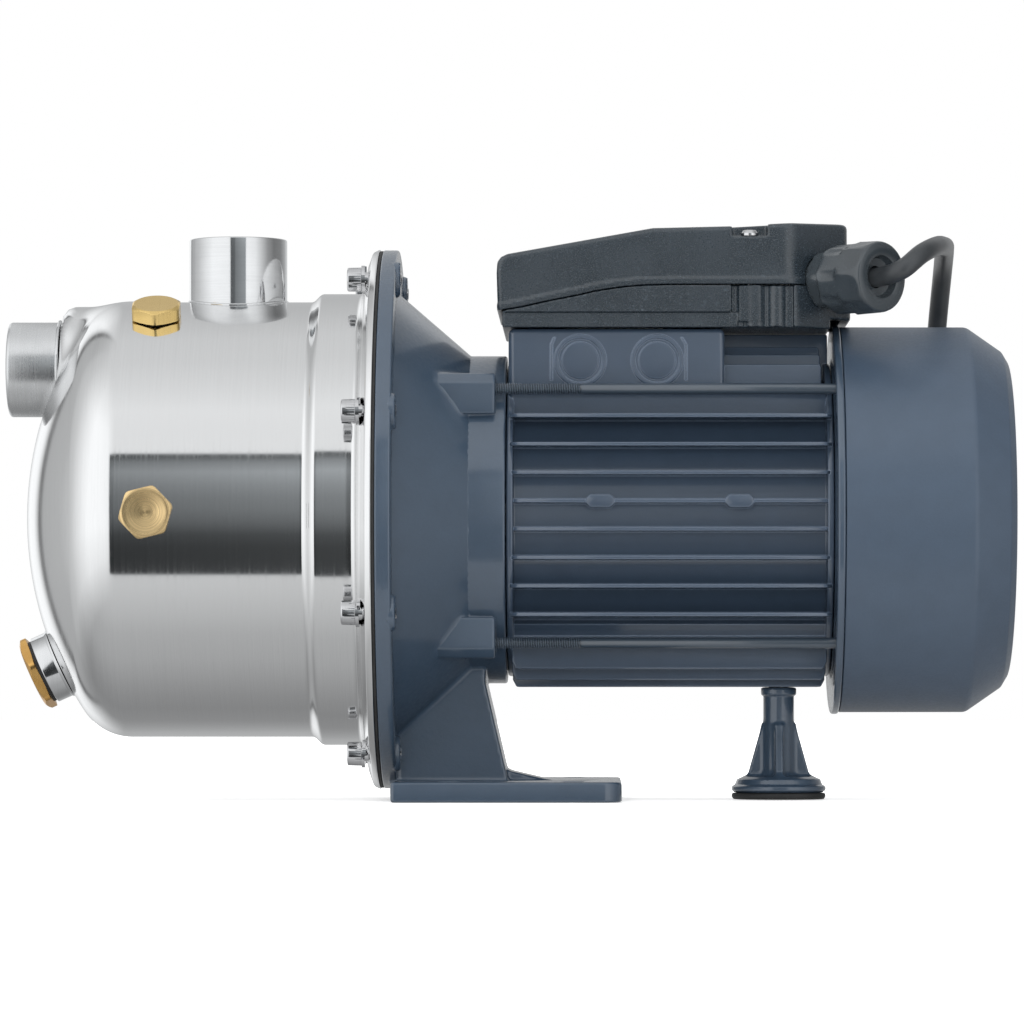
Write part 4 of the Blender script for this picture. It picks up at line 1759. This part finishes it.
MIRROR = 0.77
over = curve(phi, -180, 180, [(p, grey(v) / MIRROR) for p, v in (
    (-180, 166), (-156, 163), (-135, 136), (-120, 131), (-108, 137), (-98, 145), (-80, 160), (-64, 167), (-49.5, 181),
    (-35.5, 192), (-20, 200), (0, 216), (20, 220), (34, 222), (43.5, 221), (57.5, 223), (72.4, 212), (88.6, 203), (107.6, 199),
    (131.8, 184), (149.5, 174), (180, 166))])
turn = W.math("DIVIDE", W.math("ARCTAN2", dx, front), rad(1))  # round the horizon, + to the right
el = W.math("DIVIDE", W.math("ARCSINE", dz), rad(1))
horizon = curve(turn, -180, 180, [
    (-180, 1.15), (-151, 1.12), (-147, 0.75), (-144.5, 0.2), (-142.5, 0.22), (-140, 0.5), (-125, 0.55), (-119, 0.64), (-105, 0.74),
    (-95, 0.87), (-80, 1.05), (-60, 1.25), (-25, 1.2), (0, 1.1), (28, 1.22), (44, 1.13), (60, 0.78), (77, 0.42), (97, 0.24), (123, 0.29),
    (150, 0.55), (165, 0.9), (180, 1.15)])
horizon = W.math("MULTIPLY", horizon, curve(el, -90, 90, [(-90, 0.5), (-60, 0.55), (-30, 0.78), (-5, 1.0), (40, 1.0), (90, 0.8)]))
aside = W.math("MULTIPLY", W.ramp(W.math("ABSOLUTE", dx), 0.12, 0.34, 0.0, 1.0), W.ramp(W.math("ABSOLUTE", el), 45.0, 75.0, 1.0, 0.0))
aside = W.math("MULTIPLY", aside, W.ramp(el, -44.0, -22.0, 0.0, 1.0))
light = W.math("ADD", W.math("MULTIPLY", over, W.math("SUBTRACT", 1.0, aside)), W.math("MULTIPLY", horizon, aside))
card = curve(phi, -40, 40, [(p, grey(v) / MIRROR) for p, v in (
    (-40, 62), (-29, 62), (-22.5, 58), (-16, 59), (-9.4, 70), (-2.9, 97), (3.5, 112), (10, 120), (16.6, 134), (23.3, 152), (28.5, 128),
    (31, 92), (40, 92))])
card = W.math("MULTIPLY", card, curve(lon, -30, 30, [(-30, 0.6), (-15, 0.6), (-5.2, 0.72), (-3.0, 1.15), (14, 1.7), (30, 1.9)]))
gap = W.math("MULTIPLY", box_mask(phi, -30.5, 33.0, 0.5), box_mask(lon, -15.0, 21.0, 0.8))
v = W.math("ADD", W.math("MULTIPLY", light, W.math("SUBTRACT", 1.0, gap)), W.math("MULTIPLY", card, gap))
soft = curve(el, -90, 90, [(-90, 0.62), (-20, 0.85), (10, 0.95), (50, 1.1), (90, 1.2)])


def background(value, strength, tint=None):
    bg = wt.nodes.new("ShaderNodeBackground")
    if value is None:
        bg.inputs["Color"].default_value = (1, 1, 1, 1)
    else:
        rgb = wt.nodes.new("ShaderNodeCombineColor")
        for i in range(3):
            c = value
            if tint is not None:
                c = W.math("MULTIPLY", value, W.math("MULTIPLY_ADD", tint, (-0.05, 0.0, 0.03)[i], (0.985, 1.0, 1.012)[i]))
            wt.links.new(c, rgb.inputs[i])
        wt.links.new(rgb.outputs[0], bg.inputs["Color"])
    bg.inputs["Strength"].default_value = strength
    return bg.outputs[0]


def choose(fac, a, b):
    node = wt.nodes.new("ShaderNodeMixShader")
    wt.links.new(fac, node.inputs[0])
    wt.links.new(a, node.inputs[1])
    wt.links.new(b, node.inputs[2])
    return node.outputs[0]


lp = wt.nodes.new("ShaderNodeLightPath")
shown = choose(lp.outputs["Is Diffuse Ray"], background(v, 1.0, gap), background(soft, 0.9))
wt.links.new(choose(lp.outputs["Is Camera Ray"], shown, background(None, 1.0)), out.inputs["Surface"])
for n in wt.nodes:
    if n.bl_idname == "ShaderNodeMapRange":
        n.clamp = True


def area(name, at, to, size, power, size_y=None):
    L = bpy.data.lights.new(name, "AREA")
    L.shape = "RECTANGLE"
    L.size = size
    L.size_y = size_y or size
    L.energy = power
    ob = bpy.data.objects.new(name, L)
    COL.objects.link(ob)
    ob.location = at
    d = Vector(to) - Vector(at)
    ob.rotation_euler = d.to_track_quat("-Z", "Y").to_euler()
    return ob


key = area("key", (-0.3, -1.6, 1.9), (0, 0, 0.12), 1.6, 16, 1.0)
key.visible_glossy = False
area("fill", (0.1, -2.6, 0.35), (0.0, 0, 0.12), 1.1, 36, 0.8).visible_glossy = False
area("top", (0.1, 0.3, 2.2), (0, 0, 0.1), 1.8, 14, 1.2).visible_glossy = False

cam_data = bpy.data.cameras.new("camera")
cam = bpy.data.objects.new("camera", cam_data)
COL.objects.link(cam)
sc.camera = cam
cam_data.sensor_width = 36
cam_data.lens = 195.5
cam_data.shift_x = -0.087
cam_data.shift_y = 0.184
cam_data.clip_start = 0.05
cam_data.clip_end = 60
cam.location = (0.0397, -2.391, 0.0424)
cam.rotation_euler = (rad(90), 0, 0)
sc.view_settings.view_transform = "Standard"
sc.view_settings.look = "None"
sc.view_settings.exposure = 0.0
sc.view_settings.gamma = 1.0
